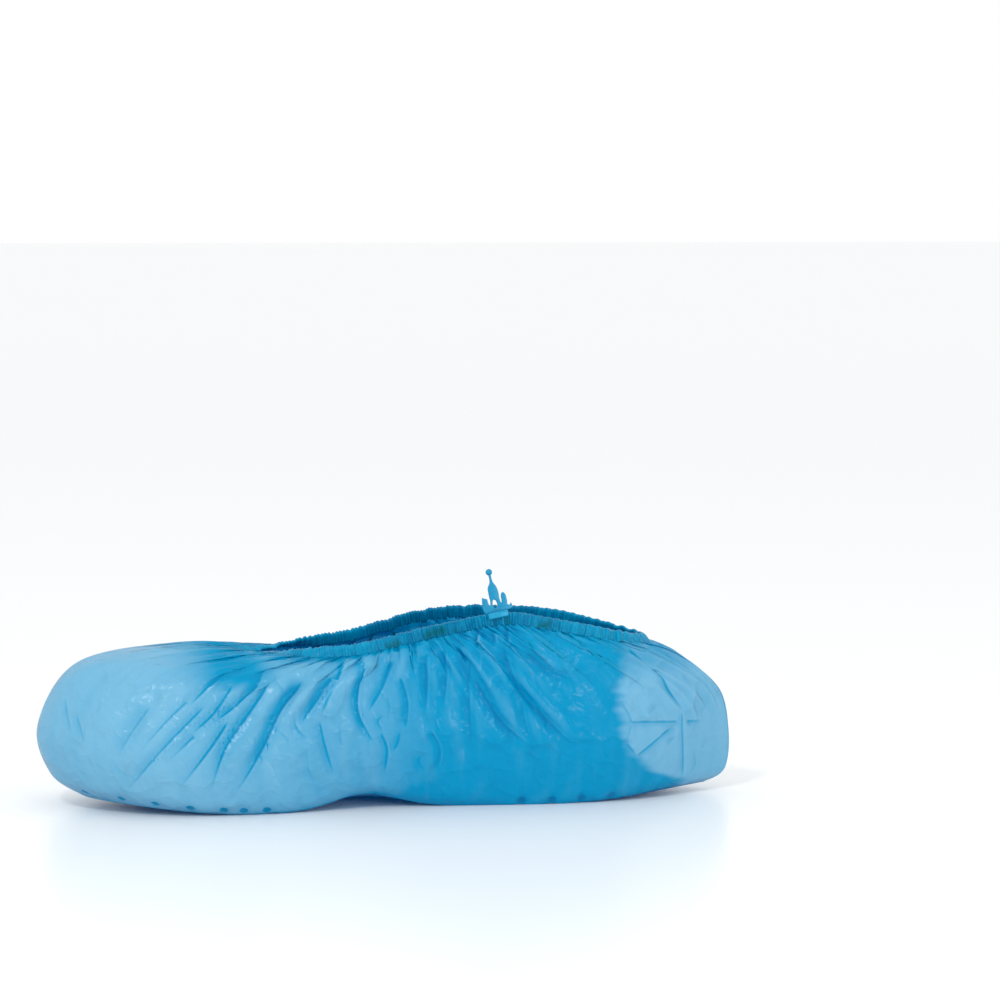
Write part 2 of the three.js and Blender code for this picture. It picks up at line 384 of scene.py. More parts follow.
@dataclass(frozen=True)
class Crease:
    """A fold of the film along a line on one side of the bag.

    Attributes:
        side: Side that it lies on.
        path: Places along it, each its X and its height.
        width: Distance over which the groove rises by e.
        depth: Depth of the groove.
        tone_and_shade: How much deeper the colour is in and beside it, as painted shade; a negative
            one paints it lighter, as a painted highlight.
        start: Share of the length over which it begins.
        end: Share of the length over which it runs out.
    """

    side: Side
    path: tuple[tuple[float, float], ...]
    width: float
    depth: float
    tone_and_shade: float
    start: float = 0.15
    end: float = 0.35


def charted(side: Side, *rows: tuple[Any, ...]) -> tuple[Crease, ...]:
    """Creases of one side.

    Args:
        side: The side.
        rows: For each crease its path, width, depth and ink, then its start and end if they
            aren't the usual ones.

    Returns:
        The creases, in the order of the rows.
    """
    return tuple(Crease(side, *row) for row in rows)


def clip_side_folds() -> tuple[Crease, ...]:
    """Wide folds on the clip side, from the toe to the heel."""
    return charted(
        Side.CLIP,
        (((127, 56), (136, 45), (143, 30)), 2.9, 0.9, 0.3),
        (((98, 56), (118, 38), (139, 12)), 1.4, 1.3, 0.5),
        (((86, 71), (96, 65), (108, 56)), 1.2, 1.3, 0.6),
        (((84, 66), (95, 52), (106, 43)), 1.3, 1.5, 0.6),
        (((66, 74), (83, 58), (100, 44), (120, 28)), 1.3, 2.0, 0.7),
        (((64, 66), (76, 53), (89, 34), (98, 11)), 1.3, 1.9, 0.7),
        (((49, 68), (61, 53), (70, 35), (86, 9)), 1.9, 2.4, 0.9),
        (((33, 69), (43, 57), (51, 46)), 1.6, 2.0, 0.6),
        (((17, 79), (21, 63), (20, 49), (12, 32)), 1.3, 2.3, 0.8),
        (((3, 76), (9, 62), (16, 50)), 1.4, 1.4, 0.5),
        (((41, 48), (38, 35), (33, 19)), 1.7, 1.2, 0.4),
        (((0, 68), (-4, 55), (-3, 41)), 1.6, 1.4, 0.5),
        (((-14, 79), (-15, 64), (-14, 50)), 1.3, 1.6, 0.6),
        (((-24, 82), (-24, 66), (-22, 52)), 1.4, 1.6, 0.5),
        (((-37, 76), (-36, 54), (-38, 28)), 1.7, 1.2, 0.4),
        (((-30, 86), (-40, 65), (-54, 43), (-68, 30)), 1.7, 2.1, 0.6),
        (((-53, 84), (-62, 61), (-76, 45), (-90, 30)), 1.7, 2.0, 0.6),
        (((-62, 62), (-65, 42), (-73, 21)), 1.9, 1.2, 0.3),
        (((-66, 80), (-78, 70), (-90, 64)), 1.6, 1.4, 0.3),
    )


def clip_side_creases() -> tuple[Crease, ...]:
    """Narrow creases on the clip side: forefoot, toe, under the clip, and behind the heel."""
    return charted(
        Side.CLIP,
        (((87, 49), (97, 35), (113, 14)), 1.3, 0.8, 0.7, 0.2, 0.4),
        (((25, 77), (34, 61), (41, 49)), 1.2, 0.7, 0.6, 0.2, 0.4),
        (((98, 67), (117, 50), (133, 33)), 1.4, 0.5, 0.5, 0.3, 0.4),
        (((-30, 78), (-44, 62), (-60, 51)), 1.3, 0.6, 0.5, 0.2, 0.4),
        (((-46, 80), (-58, 68), (-70, 60)), 1.3, -0.6, -0.5, 0.3, 0.4),
        (((168, 58), (167, 50), (165, 41)), 1.1, 0.35, 0.3, 0.3),
        (((163, 52), (161, 44), (158, 36)), 1.1, 0.40, 0.3, 0.3),
        (((23, 40), (18, 43)), 1.1, 0.9, 0.6, 0.1, 0.2),
        (((19, 42), (11, 31)), 1.1, 0.9, 0.6, 0.1, 0.2),
        (((10, 40), (6, 31), (8, 19)), 1.1, 0.5, 0.4),
        (((-16, 41), (-21, 31), (-19, 20)), 1.1, 0.5, 0.4),
        (((-41, 92), (-40, 81)), 1.0, 0.9, 0.9),
        (((-48, 91), (-50, 83)), 1.0, 0.8, 0.8),
        (((-56, 92), (-57, 83)), 1.0, 0.9, 0.9),
        (((-121, 79), (-132, 71), (-144, 56), (-153, 44)), 1.0, 0.9, 0.6),
        (((-139, 66), (-148, 52), (-156, 44), (-165, 39)), 1.1, 0.7, 0.5),
        (((-151, 47), (-152, 30), (-152, 9)), 1.1, 0.7, 0.5, 0.1, 0.2),
        (((-121, 42), (-134, 41), (-165, 38)), 1.1, 0.6, 0.5, 0.1, 0.2),
        (((-124, 23), (-139, 34), (-147, 38)), 1.1, 0.7, 0.6, 0.1, 0.2),
        (((-119, 31), (-125, 23)), 1.1, 0.5, 0.4, 0.1, 0.2),
        (((-116, 52), (-121, 42), (-118, 31)), 1.1, 0.6, 0.3),
    )


def other_side_folds() -> tuple[Crease, ...]:
    """Folds on the side away from the clip, which fan out from the mouth as the others do."""
    return charted(
        Side.OTHER,
        (((92, 76), (108, 62), (132, 34)), 1.6, 1.3, 0.4),
        (((78, 76), (96, 52), (122, 18)), 1.4, 1.9, 0.6),
        (((62, 72), (80, 50), (100, 14)), 1.9, 2.0, 0.7),
        (((48, 74), (60, 46), (76, 12)), 1.6, 2.2, 0.7),
        (((32, 76), (42, 54), (48, 24)), 2.0, 2.0, 0.6),
        (((14, 80), (18, 58), (20, 32)), 1.6, 2.1, 0.7),
        (((-7, 84), (-8, 60), (-10, 34)), 1.7, 1.8, 0.5),
        (((-26, 86), (-30, 62), (-36, 38)), 1.6, 1.8, 0.6),
        (((-48, 88), (-56, 64), (-68, 38)), 1.9, 2.0, 0.6),
        (((-74, 84), (-84, 62), (-98, 38)), 1.7, 1.6, 0.4),
        (((-116, 78), (-132, 66), (-148, 48)), 1.3, 1.6, 0.5),
    )


def other_side_creases() -> tuple[Crease, ...]:
    """Sharp narrow creases behind the heel on the side away from the clip."""
    return charted(
        Side.OTHER,
        (((-148, 60), (-153, 38), (-149, 14)), 1.2, 0.5, 0.35, 0.3, 0.4),
        (((-119, 26), (-131, 33), (-143, 47)), 1.1, 0.6, 0.4, 0.2, 0.4),
        (((-124, 68), (-133, 57), (-138, 50)), 1.1, 0.6, 0.4, 0.2, 0.4),
    )


@dataclass(frozen=True)
class Crumple:
    """A region of short creases in all directions, such as handling leaves in film.

    Attributes:
        low: Least X and least height.
        high: Greatest X and greatest height.
        count: How many creases on each side of the bag.
        lean: Middle direction of the creases, as degrees from upright towards the toe.
        length: Least and greatest length.
    """

    low: tuple[float, float]
    high: tuple[float, float]
    count: int
    lean: float
    length: tuple[float, float]


def default_crumples() -> tuple[Crumple, ...]:
    """Crumples of the forefoot, the waist, under the clip, the heel and the loose rear."""
    return (
        Crumple((60, 30), (125, 62), 16, -40.0, (8.0, 24.0)),
        Crumple((20, 18), (70, 68), 26, -32.0, (8.0, 24.0)),
        Crumple((-40, 24), (20, 78), 40, 0.0, (7.0, 22.0)),
        Crumple((-72, 50), (-30, 86), 26, 28.0, (7.0, 18.0)),
        Crumple((-165, 14), (-118, 72), 26, 35.0, (7.0, 22.0)),
        Crumple((110, 18), (165, 58), 8, -60.0, (8.0, 20.0)),
    )


def crumple_creases(kinds: Sequence[Crumple], seed: int) -> tuple[Crease, ...]:
    """Draws the short creases of each region.

    Args:
        kinds: The regions.
        seed: Seed of their places and sizes.

    Returns:
        Narrow creases, about a third of them ridges.
    """
    chance = np.random.default_rng(seed)
    drawn = []
    for kind in kinds:
        for side in Side:
            for _ in range(kind.count):
                x = chance.uniform(kind.low[0], kind.high[0])
                z = chance.uniform(kind.low[1], kind.high[1])
                turn = math.radians(kind.lean + chance.normal(0.0, 24.0))
                bow = chance.normal(0.0, 1.5)
                half = chance.uniform(*kind.length) / 2
                away = (-math.sin(turn) * half, math.cos(turn) * half)
                middle = (x + bow * math.cos(turn), z + bow * math.sin(turn))
                path = ((x + away[0], z + away[1]), middle, (x - away[0], z - away[1]))
                depth = chance.uniform(0.2, 0.65) * (-0.7 if chance.random() < 0.35 else 1.0)
                width = chance.uniform(1.1, 1.8)
                # A crease's colour is painted shade in a groove, and a painted highlight on a
                # ridge, whose depth is negative.
                drawn.append(Crease(side, path, width, depth, 0.45 * depth, 0.4, 0.4))
    return tuple(drawn)


def polyline(points: Array, steps: int) -> Array:
    """Catmull-Rom curve through given points.

    Args:
        points: The given points.
        steps: Even steps between each two.

    Returns:
        Points of the curve.
    """
    place = np.linspace(0.0, 1.0, steps * (len(points) - 1) + 1)
    return np.stack([along(points[:, axis], place) for axis in range(3)], axis=-1)


@dataclass(frozen=True)
class FoldField:
    """What a set of creases does to the points of the bag.

    Attributes:
        height: How far each point moves out along its normal.
        tone_and_shade: How much deeper its colour is, as painted shade.
        line: Distance to the strongest crease near each point, positive towards the toe, and how
            dark that crease's painted shade line is.
    """

    height: Array
    tone_and_shade: Array
    line: Array


@dataclass(frozen=True)
class CreaseRules:
    """Lengths and limits that all creases share.

    Attributes:
        steps: Even steps of a crease's curve between two of its places.
        middle: Least distance from the middle plane of a point that lies on a side.
        reach: How far a crease acts, in widths.
        over: How far its curve may stand over or under the film.
        bottom: Radius of the groove's rounded bottom.
        lip: Height of the lip beside the groove, then its distance and breadth in widths.
        band: Strength of the faint painted shade beside the groove, then its breadth in widths.
        strip: Breadth of the strip that a crease claims.
        near: Distance within which its own points are looked at for older claims.
        crowded: Middle claim there at which the whole crease is left out.
        groove_claims: Claims between which a later crease's groove fades out.
        line_claims: Claims between which its line fades out.
        line_ends: Distances between which the line's strength fades out.
    """

    steps: int = 8
    middle: float = 1.0
    reach: float = 6.0
    over: float = 2.5
    bottom: float = 1.3
    lip: tuple[float, float, float] = (0.35, 2.2, 1.3)
    band: tuple[float, float] = (0.45, 1.4)
    strip: float = 2.6
    near: float = 1.0
    crowded: float = 0.03
    groove_claims: tuple[float, float] = (0.04, 0.6)
    line_claims: tuple[float, float] = (0.012, 0.18)
    line_ends: tuple[float, float] = (1.3, 2.3)


RULES = CreaseRules()


def off_crease(chosen: Array, outward: Array, line: Array) -> tuple[Array, Array, Array]:
    """Distances of points from a crease's curve.

    Args:
        chosen: The points.
        outward: Outward normal of the film at each.
        line: Points of the curve.

    Returns:
        The distance along the film, which also counts what the curve stands over or under the
        film beyond its allowance; the same, positive towards the toe; and the place along the
        curve of each point's nearest foot, from 0 to 1.
    """
    head, step = line[:-1], np.diff(line, axis=0)
    apart = chosen[:, None, :] - head[None]
    share = np.sum(apart * step, axis=-1) / np.maximum(np.sum(step * step, axis=-1), 1e-9)
    share = np.clip(share, 0.0, 1.0)
    nearest = np.linalg.norm(apart - share[..., None] * step, axis=-1).argmin(axis=1)
    every = np.arange(len(chosen))
    run = step[nearest]
    off = apart[every, nearest] - share[every, nearest][:, None] * run
    over = np.sum(off * outward, axis=-1)
    along_film = np.linalg.norm(off - over[:, None] * outward, axis=-1)
    distance = np.hypot(along_film, np.maximum(np.abs(over) - RULES.over, 0.0))
    signed = distance * np.sign(run[:, 0] * off[:, 2] - run[:, 2] * off[:, 0])
    return distance, signed, (nearest + share[every, nearest]) / len(step)


def fold_field(points: Array, creases: Sequence[Crease]) -> FoldField:
    """Works out the creases on a grid of points.

    Each crease's line is a curve through the grid points nearest to its places. Its groove falls
    off as exp(-distance / width), with a rounded bottom, beside a low lip on the heel side. Its
    colour is a faint bell of painted shade on the toe side. The thin dark line of painted shade
    itself is left to the finish, which finds it from the distance, so that it stays sharp between
    grid points. A crease claims a strip about itself, as bell(distance), and a later one fades out
    where it comes into that strip: its groove close by, and its line while it is still two grid
    points away. One that lies in such strips for most of its length is left out.

    Args:
        points: Points of the smooth bag.
        creases: The creases.

    Returns:
        The summed heights and colours, and the line of the strongest crease near each point.
    """
    flat = points.reshape(-1, 3)
    outward = grid_normals(points).reshape(-1, 3)
    height, tone_and_shade, claimed, best = (np.zeros(len(flat)) for _ in range(4))
    line_field = np.zeros((len(flat), 2))
    rise, apart, breadth = RULES.lip
    for crease in creases:
        width = crease.width
        on_side = np.flatnonzero(flat[:, 1] * crease.side.value > RULES.middle)
        chosen = flat[on_side]
        places = np.array(crease.path, dtype=float)
        aside = np.linalg.norm(chosen[None, :, ::2] - places[:, None, :], axis=-1)
        line = polyline(chosen[aside.argmin(axis=1)], RULES.steps)
        reach = RULES.reach * width
        inside = np.all((chosen > line.min(0) - reach) & (chosen < line.max(0) + reach), axis=1)
        on_side, chosen = on_side[inside], chosen[inside]
        distance, signed, place = off_crease(chosen, outward[on_side], line)
        older = claimed[on_side]
        own = older[distance < RULES.near]
        if own.size and np.median(own) > RULES.crowded:
            continue
        taper = smooth_step(0.0, crease.start, place)
        taper = taper * (1.0 - smooth_step(1.0 - crease.end, 1.0, place))
        lip = bell(signed + apart * width, breadth * width)
        groove = np.exp((RULES.bottom - np.hypot(distance, RULES.bottom)) / width)
        force = taper * (1.0 - smooth_step(*RULES.groove_claims, older))
        height[on_side] += crease.depth * force * (rise * lip - groove)
        # Painted shade: a faint bell beside the groove, on the toe side.
        band = bell(signed - width, RULES.band[1] * width)
        tone_and_shade[on_side] += RULES.band[0] * crease.tone_and_shade * force * band
        claim = smooth_step(0.0, 0.15, taper) * bell(distance, RULES.strip)
        claimed[on_side] = np.maximum(older, claim)
        # Strength of the crease's dark line of painted shade, which the finish draws.
        clear = taper * (1.0 - smooth_step(*RULES.line_claims, older))
        force = crease.tone_and_shade * clear * (1.0 - smooth_step(*RULES.line_ends, distance))
        rank = np.abs(force) + 0.001 / (1.0 + distance)
        wins = rank > best[on_side]
        best[on_side[wins]] = rank[wins]
        line_field[on_side[wins]] = np.stack([signed, force], axis=-1)[wins]
    shape = points.shape[:-1]
    return FoldField(height.reshape(shape), tone_and_shade.reshape(shape), line_field.reshape(*shape, 2))


@dataclass(frozen=True)
class Gathers:
    """A family of small folds that run down from the mouth along the lines of pull.

    Attributes:
        count: How many there are round the mouth.
        width: Least and greatest width.
        depth: Least and greatest depth.
        foot: Least and greatest place where they run out, counted in rings from the mouth.
        tone_and_shade: How much deeper the colour is in them, partly doubled film and partly
            painted shade.
    """

    count: int
    width: tuple[float, float]
    depth: tuple[float, float]
    foot: tuple[float, float]
    tone_and_shade: float


def default_gathers() -> tuple[Gathers, ...]:
    """Dense short gathers under the hem, and fewer long ones."""
    return (
        Gathers(280, (0.5, 0.9), (0.3, 0.8), (0.35, 1.0), 0.40),
        Gathers(70, (0.9, 1.5), (0.25, 0.7), (0.8, 1.8), 0.30),
        Gathers(30, (1.2, 2.2), (0.25, 0.6), (1.5, 3.0), 0.25),
    )


def gather_field(base: Array, down: Array, kinds: Sequence[Gathers], seed: int) -> FoldField:
    """Works out the gathers on a grid.

    Args:
        base: Smooth points of the grid, whose columns are the lines of pull.
        down: Places of its rows.
        kinds: The families of gathers.
        seed: Seed of their places and sizes.

    Returns:
        The summed heights and colours. Each gather's groove falls off as exp(-distance / width)
        across the columns, bends a little as it goes down, and opens as it fades.
    """
    chance = np.random.default_rng(seed)
    rows, count = base.shape[:2]
    height = np.zeros((rows, count))
    tone_and_shade = np.zeros((rows, count))
    edges = np.linalg.norm(np.roll(base, -1, axis=1) - base, axis=-1)
    rim = np.concatenate([[0.0], np.cumsum(edges[0])[:-1]])
    length = edges[0].sum()
    for kind in kinds:
        for _ in range(kind.count):
            middle = int(np.searchsorted(rim, chance.uniform(0.0, length))) % count
            width = chance.uniform(*kind.width)
            depth = chance.uniform(*kind.depth)
            foot = chance.uniform(*kind.foot)
            bend = chance.normal(0.0, 1.2)
            ends = base[0, middle, 0]
            calm = float(1.0 - 0.85 * bell(ends + 93.0, 34.0) - 0.7 * smooth_step(66.0, 79.0, ends))
            short = 0.65 * smooth_step(58.0, 76.0, ends) + 0.6 * bell(ends + 93.0, 34.0)
            foot = foot * float(1.0 - short)
            columns = np.arange(middle - 30, middle + 31) % count
            line = np.cumsum(edges[:, columns], axis=1)
            apart = line - line[:, 30:31] - bend * down[:, None] ** 1.5
            fade = 1.0 - smooth_step(0.5 * foot, foot, down)[:, None]
            wider = width * (1.0 + 0.35 * down[:, None])
            groove = np.exp((0.3 - np.hypot(apart, 0.3)) / wider)
            height[:, columns] -= depth * calm * fade * (groove - 0.2) * (np.abs(apart) < 9.0)
            # The gathers' grooves are painted darker, partly doubled film and partly painted shade.
            tone_and_shade[:, columns] += kind.tone_and_shade * calm * fade * groove**1.5
    return FoldField(height, tone_and_shade, np.zeros((rows, count, 2)))


# ------------------------------------------------------------------ film solver


@dataclass
class Film:
    """The film in its final form.

    Attributes:
        base: Smooth points of the grid.
        normals: Outward normals of the smooth points.
        points: Points of the film.
        down: Places of the rows, counted in rings from the mouth.
        tone_and_shade: How deep the colour is at each point, from the folds alone, as painted
            shade.
        line: Distance to the strongest crease near each point, and how dark its painted shade line
            is.
    """

    base: Array
    normals: Array
    points: Array
    down: Array
    tone_and_shade: Array
    line: Array


@dataclass
class FilmSolver:
    """Lets surplus film buckle on a smooth form, on grids that double in fineness.

    Every pass pulls grid edges to their flat length, straightens the film a little across two
    steps, and keeps each point within a thin layer round the smooth form. Every tenth pass takes
    back most of what the film has slid along the form over a wide stretch.

    Attributes:
        form: The smooth bag.
        slack: Surplus length of film at the widest ring, as a share.
        passes: Passes on the coarse, middle and fine grid.
        quick_passes: A smaller count of passes on each grid; not used.
        stiffness: Share of a bend that one pass takes out, on each grid.
        seed: Seed of the unevenness that starts the buckling.
        edge_share: Share of an edge's error that one pass takes out.
        shear_share: Share of a diagonal's error that one pass takes out.
        slide: Passes between two returns of slid film, and the share that is taken back.
        guide: Share of the wide folds' depth about which the layer lies.
        noise: Unevenness at the start, and on each finer grid.
        top: Upward parts of the normal between which folds grow flatter towards the top.
        flatter: Shares by which the film's own folds, the pressed ones and their painted shade go
            flatter.
    """

    form: BagForm
    slack: float = 0.012
    passes: tuple[int, ...] = (260, 300, 340)
    quick_passes: int = 40
    stiffness: tuple[float, ...] = (0.30, 0.22, 0.14)
    seed: int = 7
    edge_share: float = 0.9
    shear_share: float = 0.35
    slide: tuple[int, float] = (10, 0.7)
    guide: float = 0.5
    noise: tuple[float, float] = (0.5, 0.12)
    top: tuple[float, float] = (0.4, 0.8)
    flatter: tuple[float, float, float] = (0.4, 0.6, 0.3)

    def wander(self, count: int, waves: int, seed: int) -> Array:
        """Smooth seeded noise round a circle, from 0 to 1.

        Args:
            count: How many samples.
            waves: The most waves round the circle.
            seed: Seed of the noise.

        Returns:
            A sum of sine waves with random phases, passed through its own rank.
        """
        chance = np.random.default_rng(seed)
        turn = 2.0 * np.pi * np.arange(count) / count
        total = np.zeros(count)
        for wave in range(3, waves):
            total += chance.normal() * np.sin(wave * turn + chance.uniform(0.0, 2.0 * np.pi))
        return 0.5 + 0.5 * np.tanh(total / total.std())

    def flat_widths(self, base: Array, down: Array) -> Array:
        """Flat length of each edge round the bag.

        Args:
            base: Smooth points of the grid.
            down: Places of its rows.

        Returns:
            The widest edge of each column with its slack, fading to the true length under the
            sole. The slack wanders round the bag, and is small at the toe and round the heel.
        """
        true = np.linalg.norm(np.roll(base, -1, axis=1) - base, axis=-1)
        widest = true[down <= 4.0].max(axis=0)
        middle = (base[0, :, 0] + np.roll(base[0, :, 0], -1)) / 2
        toe = smooth_step(73.0, 81.0, middle)
        heel = bell(middle + 90.0, 36.0)
        uneven = 0.15 + 1.7 * self.wander(base.shape[1], 60, self.seed)
        slack = self.slack * uneven * (1.0 - 0.6 * toe) * (1.0 - 0.85 * heel)
        share = 1.0 - smooth_step(1.0, 3.4, down)[:, None]
        return true + (widest[None, :] * (1.0 + slack[None, :]) - true) * share

    def layer(self, base: Array, down: Array) -> tuple[Array, Array]:
        """How far the film may stand in and out from the smooth form.

        Args:
            base: Smooth points of the grid.
            down: Places of its rows.

        Returns:
            Two positive arrays, in and out, tighter at the toe and round the heel.
        """
        places = (0.0, 0.6, 1.0, 2.0, 3.0, 4.0, 5.0, 6.0)
        inward = np.interp(down, places, (0.5, 0.8, 0.9, 0.8, 0.5, 0.2, 0.1, 0.0))[:, None]
        outward = np.interp(down, places, (0.5, 0.8, 0.9, 0.7, 0.4, 0.2, 0.1, 0.0))[:, None]
        x = base[..., 0]
        tight = 1.0 - 0.9 * smooth_step(85.0, 130.0, x)
        tight = tight * (1.0 - 0.93 * bell(x + 92.0, 38.0) * smooth_step(0.1, 0.8, down)[:, None])
        return inward * tight, outward * tight

    @staticmethod
    def pull(points: Array, first: Any, second: Any, rest: Array, share: float) -> None:
        """Moves two sets of points towards their rest distance, in place.

        Args:
            points: Grid of points.
            first: Index of one end of each edge.
            second: Index of the other end.
            rest: Rest length of each edge.
            share: Share of the error to take out.
        """
        start, end = points[first], points[second]
        apart = end - start
        length = np.sqrt(np.einsum("...k,...k->...", apart, apart)) + 1e-9
        move = apart * (0.5 * share * (1.0 - rest / length))[..., None]
        points[first] = start + move
        points[second] = end - move

    def relax(self, base: Array, points: Array, guide: Array, down: Array, level: int) -> Array:
        """Runs the passes on one grid.

        Args:
            base: Smooth points.
            points: Starting points.
            guide: Charted depth of the folds, about which the layer lies.
            down: Places of the rows.
            level: Which grid, 0 for the coarse one.

        Returns:
            The relaxed points.
        """
        inward, outward = self.layer(base, down)
        low, high = (guide - inward).astype(np.float32), (guide + outward).astype(np.float32)
        wide = self.flat_widths(base, down).astype(np.float32)
        tall = np.linalg.norm(np.diff(base, axis=0), axis=-1).astype(np.float32)
        slant = np.sqrt(((wide[:-1] + wide[1:]) / 2) ** 2 + tall**2)
        smooth = base.astype(np.float32)
        normals = grid_normals(base).astype(np.float32)
        points = points.astype(np.float32)
        rows, count = base.shape[:2]
        even, odd = np.arange(0, count, 2), np.arange(1, count, 2)
        turns = [(even, (even + 1) % count), (odd, (odd + 1) % count)]
        spans = [(slice(first, rows - 1, 2), slice(first + 1, rows, 2)) for first in (0, 1)]
        stiffness = self.stiffness[level]
        reach = count // 64
        firm, soft = self.edge_share, self.shear_share
        every, taken = self.slide
        for count_of_pass in range(self.passes[level]):
            for here, there in turns:
                self.pull(points, np.s_[:, here], np.s_[:, there], wide[:, here], firm)
            for above, below in spans:
                self.pull(points, np.s_[above], np.s_[below], tall[above], firm)
                for here, there in turns:
                    length = slant[above][:, here]
                    self.pull(points, np.s_[above, here], np.s_[below, there], length, soft)
                    self.pull(points, np.s_[above, there], np.s_[below, here], length, soft)
            middle = (np.roll(points, 1, axis=1) + np.roll(points, -1, axis=1)) / 2
            points += (middle - points) * (stiffness / 4)
            middle = (points[2:] + points[:-2]) / 2
            points[1:-1] += (middle - points[1:-1]) * stiffness
            offset = np.einsum("...k,...k->...", points - smooth, normals)
            kept = np.clip(offset, low, high)
            points += normals * (kept - offset)[..., None]
            if count_of_pass % every == every - 1:
                slide = points - smooth - normals * kept[..., None]
                points -= taken * blurred(slide, reach, 1, True).astype(np.float32)
            points[-1] = smooth[-1]
            points[0] = smooth[0] + normals[0] * kept[0][..., None]
            np.maximum(points[..., 2], 0.0, out=points[..., 2])
        return points.astype(float)

    def solve(self, folds: Sequence[Crease], creases: Sequence[Crease],
              gathers: Sequence[Gathers]) -> Film:
        """Buckles the film from the coarse grid to the fine one, then presses in the creases.

        Args:
            folds: Wide folds, which guide the buckling.
            creases: Narrow creases, pressed in afterwards.
            gathers: Small gathers, pressed in afterwards.

        Returns:
            The film.
        """
        chance = np.random.default_rng(self.seed)
        moved = np.zeros(0)
        for level, step in enumerate((4, 2, 1)):
            down = self.form.downs(step)
            base = self.form.surface(self.form.angles(step), down)
            normals = grid_normals(base)
            wide = fold_field(base, folds)
            if level == 0:
                start = wide.height + chance.normal(0.0, self.noise[0], wide.height.shape)
                moved = normals * start[..., None]
            else:
                finer = np.zeros_like(base)
                finer[::2, ::2] = moved
                finer[::2, 1::2] = (moved + np.roll(moved, -1, axis=1)) / 2
                finer[1::2] = (finer[:-2:2] + finer[2::2]) / 2
                uneven = chance.normal(0.0, self.noise[1], wide.height.shape)
                moved = finer + normals * uneven[..., None]
            points = self.relax(base, base + moved, self.guide * wide.height, down, level)
            moved = points - base
        sharp = fold_field(base, tuple(folds) + tuple(creases))
        small = gather_field(base, down, gathers, self.seed)
        under = 1.0 - smooth_step(4.0, 5.0, down)[:, None]
        crest = smooth_step(*self.top, normals[..., 2])
        less, less_pressed, less_shade = self.flatter
        pressed = (0.8 * sharp.height + small.height) * (1.0 - less_pressed * crest)
        line = sharp.line * np.stack([np.ones_like(crest), 1.0 - less_pressed * crest], axis=-1)
        moved = moved * (1.0 - less * crest)[..., None] + normals * (pressed * under)[..., None]
        even = blurred(blurred(moved, 1, 1, True), 1, 0, False)
        points = base + moved + (even - moved) * smooth_step(0.9, 1.7, down)[:, None, None]
        points[..., 2] = np.maximum(points[..., 2], 0.0)
        tone_and_shade = (sharp.tone_and_shade + small.tone_and_shade) * (1.0 - less_shade * crest)
        return Film(base, normals, points, down, tone_and_shade, line)


# ------------------------------------------------------------------ meshes


def linked(name: str, data: Any) -> bpy.types.Object:
    """Makes an object and links it to the scene.

    Args:
        name: Name of the object.
        data: What it shows: a mesh, a curve, a camera or a light.

    Returns:
        The object.
    """
    made = bpy.data.objects.new(name, data)
    bpy.context.scene.collection.objects.link(made)
    return made


def mesh_object(name: str, points: Array, quads: Array) -> bpy.types.Object:
    """Makes a smooth-shaded mesh object from arrays.

    Args:
        name: Name of the piece.
        points: Points in millimetres.
        quads: Four point numbers for each face. A number that repeats makes a triangle, or no
            face. Points that no face uses stay out.

    Returns:
        The new object, linked to the scene, with the attribute "source" holding each point's
        number in the array.
    """
    used, numbers = np.unique(quads, return_inverse=True)
    quads = numbers.reshape(quads.shape)
    same = quads == np.roll(quads, -1, axis=1)
    opposite = (quads[:, 0] == quads[:, 2]) | (quads[:, 1] == quads[:, 3])
    whole = quads[~same.any(axis=1) & ~opposite]
    pinched = quads[(same.sum(axis=1) == 1) & ~opposite]
    faces = whole.tolist() + [list(dict.fromkeys(quad)) for quad in pinched.tolist()]
    mesh = bpy.data.meshes.new(name)
    mesh.from_pydata((points[used] * METRES).tolist(), [], faces)
    mesh.polygons.foreach_set("use_smooth", np.ones(len(faces), dtype=bool))
    mesh.attributes.new("source", "INT", "POINT").data.foreach_set("value", used.astype(np.int32))
    mesh.update()
    return linked(name, mesh)


def paint(piece: bpy.types.Object, name: str, values: Array) -> None:
    """Stores a value or a vector for each point of a mesh.

    Args:
        piece: A piece that mesh_object made.
        name: Name of the attribute.
        values: One value or vector for each point of the arrays it was made from.
    """
    mesh = piece.data
    source = np.zeros(len(mesh.vertices), dtype=np.int32)
    mesh.attributes["source"].data.foreach_get("value", source)
    kind, key = ("FLOAT_VECTOR", "vector") if values.ndim == 2 else ("FLOAT", "value")
    layer = mesh.attributes.new(name, kind, "POINT")
    layer.data.foreach_set(key, values[source].astype(np.float32).ravel())


def zipped_grid(rows: int, count: int, first: int) -> Array:
    """Point numbers of a grid whose last row folds onto itself, as the sole's middle line does.

    Args:
        rows: Rows of the grid.
        count: Columns of the grid.
        first: Number of its first point.

    Returns:
        Array of rows by columns.
    """
    face = first + np.arange(rows * count).reshape(rows, count)
    columns = np.arange(count)
    face[-1] = face[-1, np.minimum(columns, (count - columns) % count)]
    return face


def bag_quads(rows: int, count: int) -> Array:
    """Faces of a bag's wall, whose inner face has every second row and column of the outer one.

    Args:
        rows: Rows of the outer face, an odd number.
        count: Columns of the outer face, an even number.

    Returns:
        Four point numbers for each face, with the inner face's points after the outer face's.
    """
    outer = zipped_grid(rows, count, 0)
    inner = zipped_grid((rows + 1) // 2, count // 2, rows * count)
    beside, within = np.roll(outer, -1, axis=1), np.roll(inner, -1, axis=1)
    even, odd, after = outer[0, ::2], outer[0, 1::2], beside[0, 1::2]
    return np.concatenate([
        np.stack([outer[:-1], outer[1:], beside[1:], beside[:-1]], axis=-1).reshape(-1, 4),
        np.stack([inner[:-1], within[:-1], within[1:], inner[1:]], axis=-1).reshape(-1, 4),
        np.stack([even, odd, inner[0], inner[0]], axis=-1),
        np.stack([odd, after, within[0], inner[0]], axis=-1),
    ])


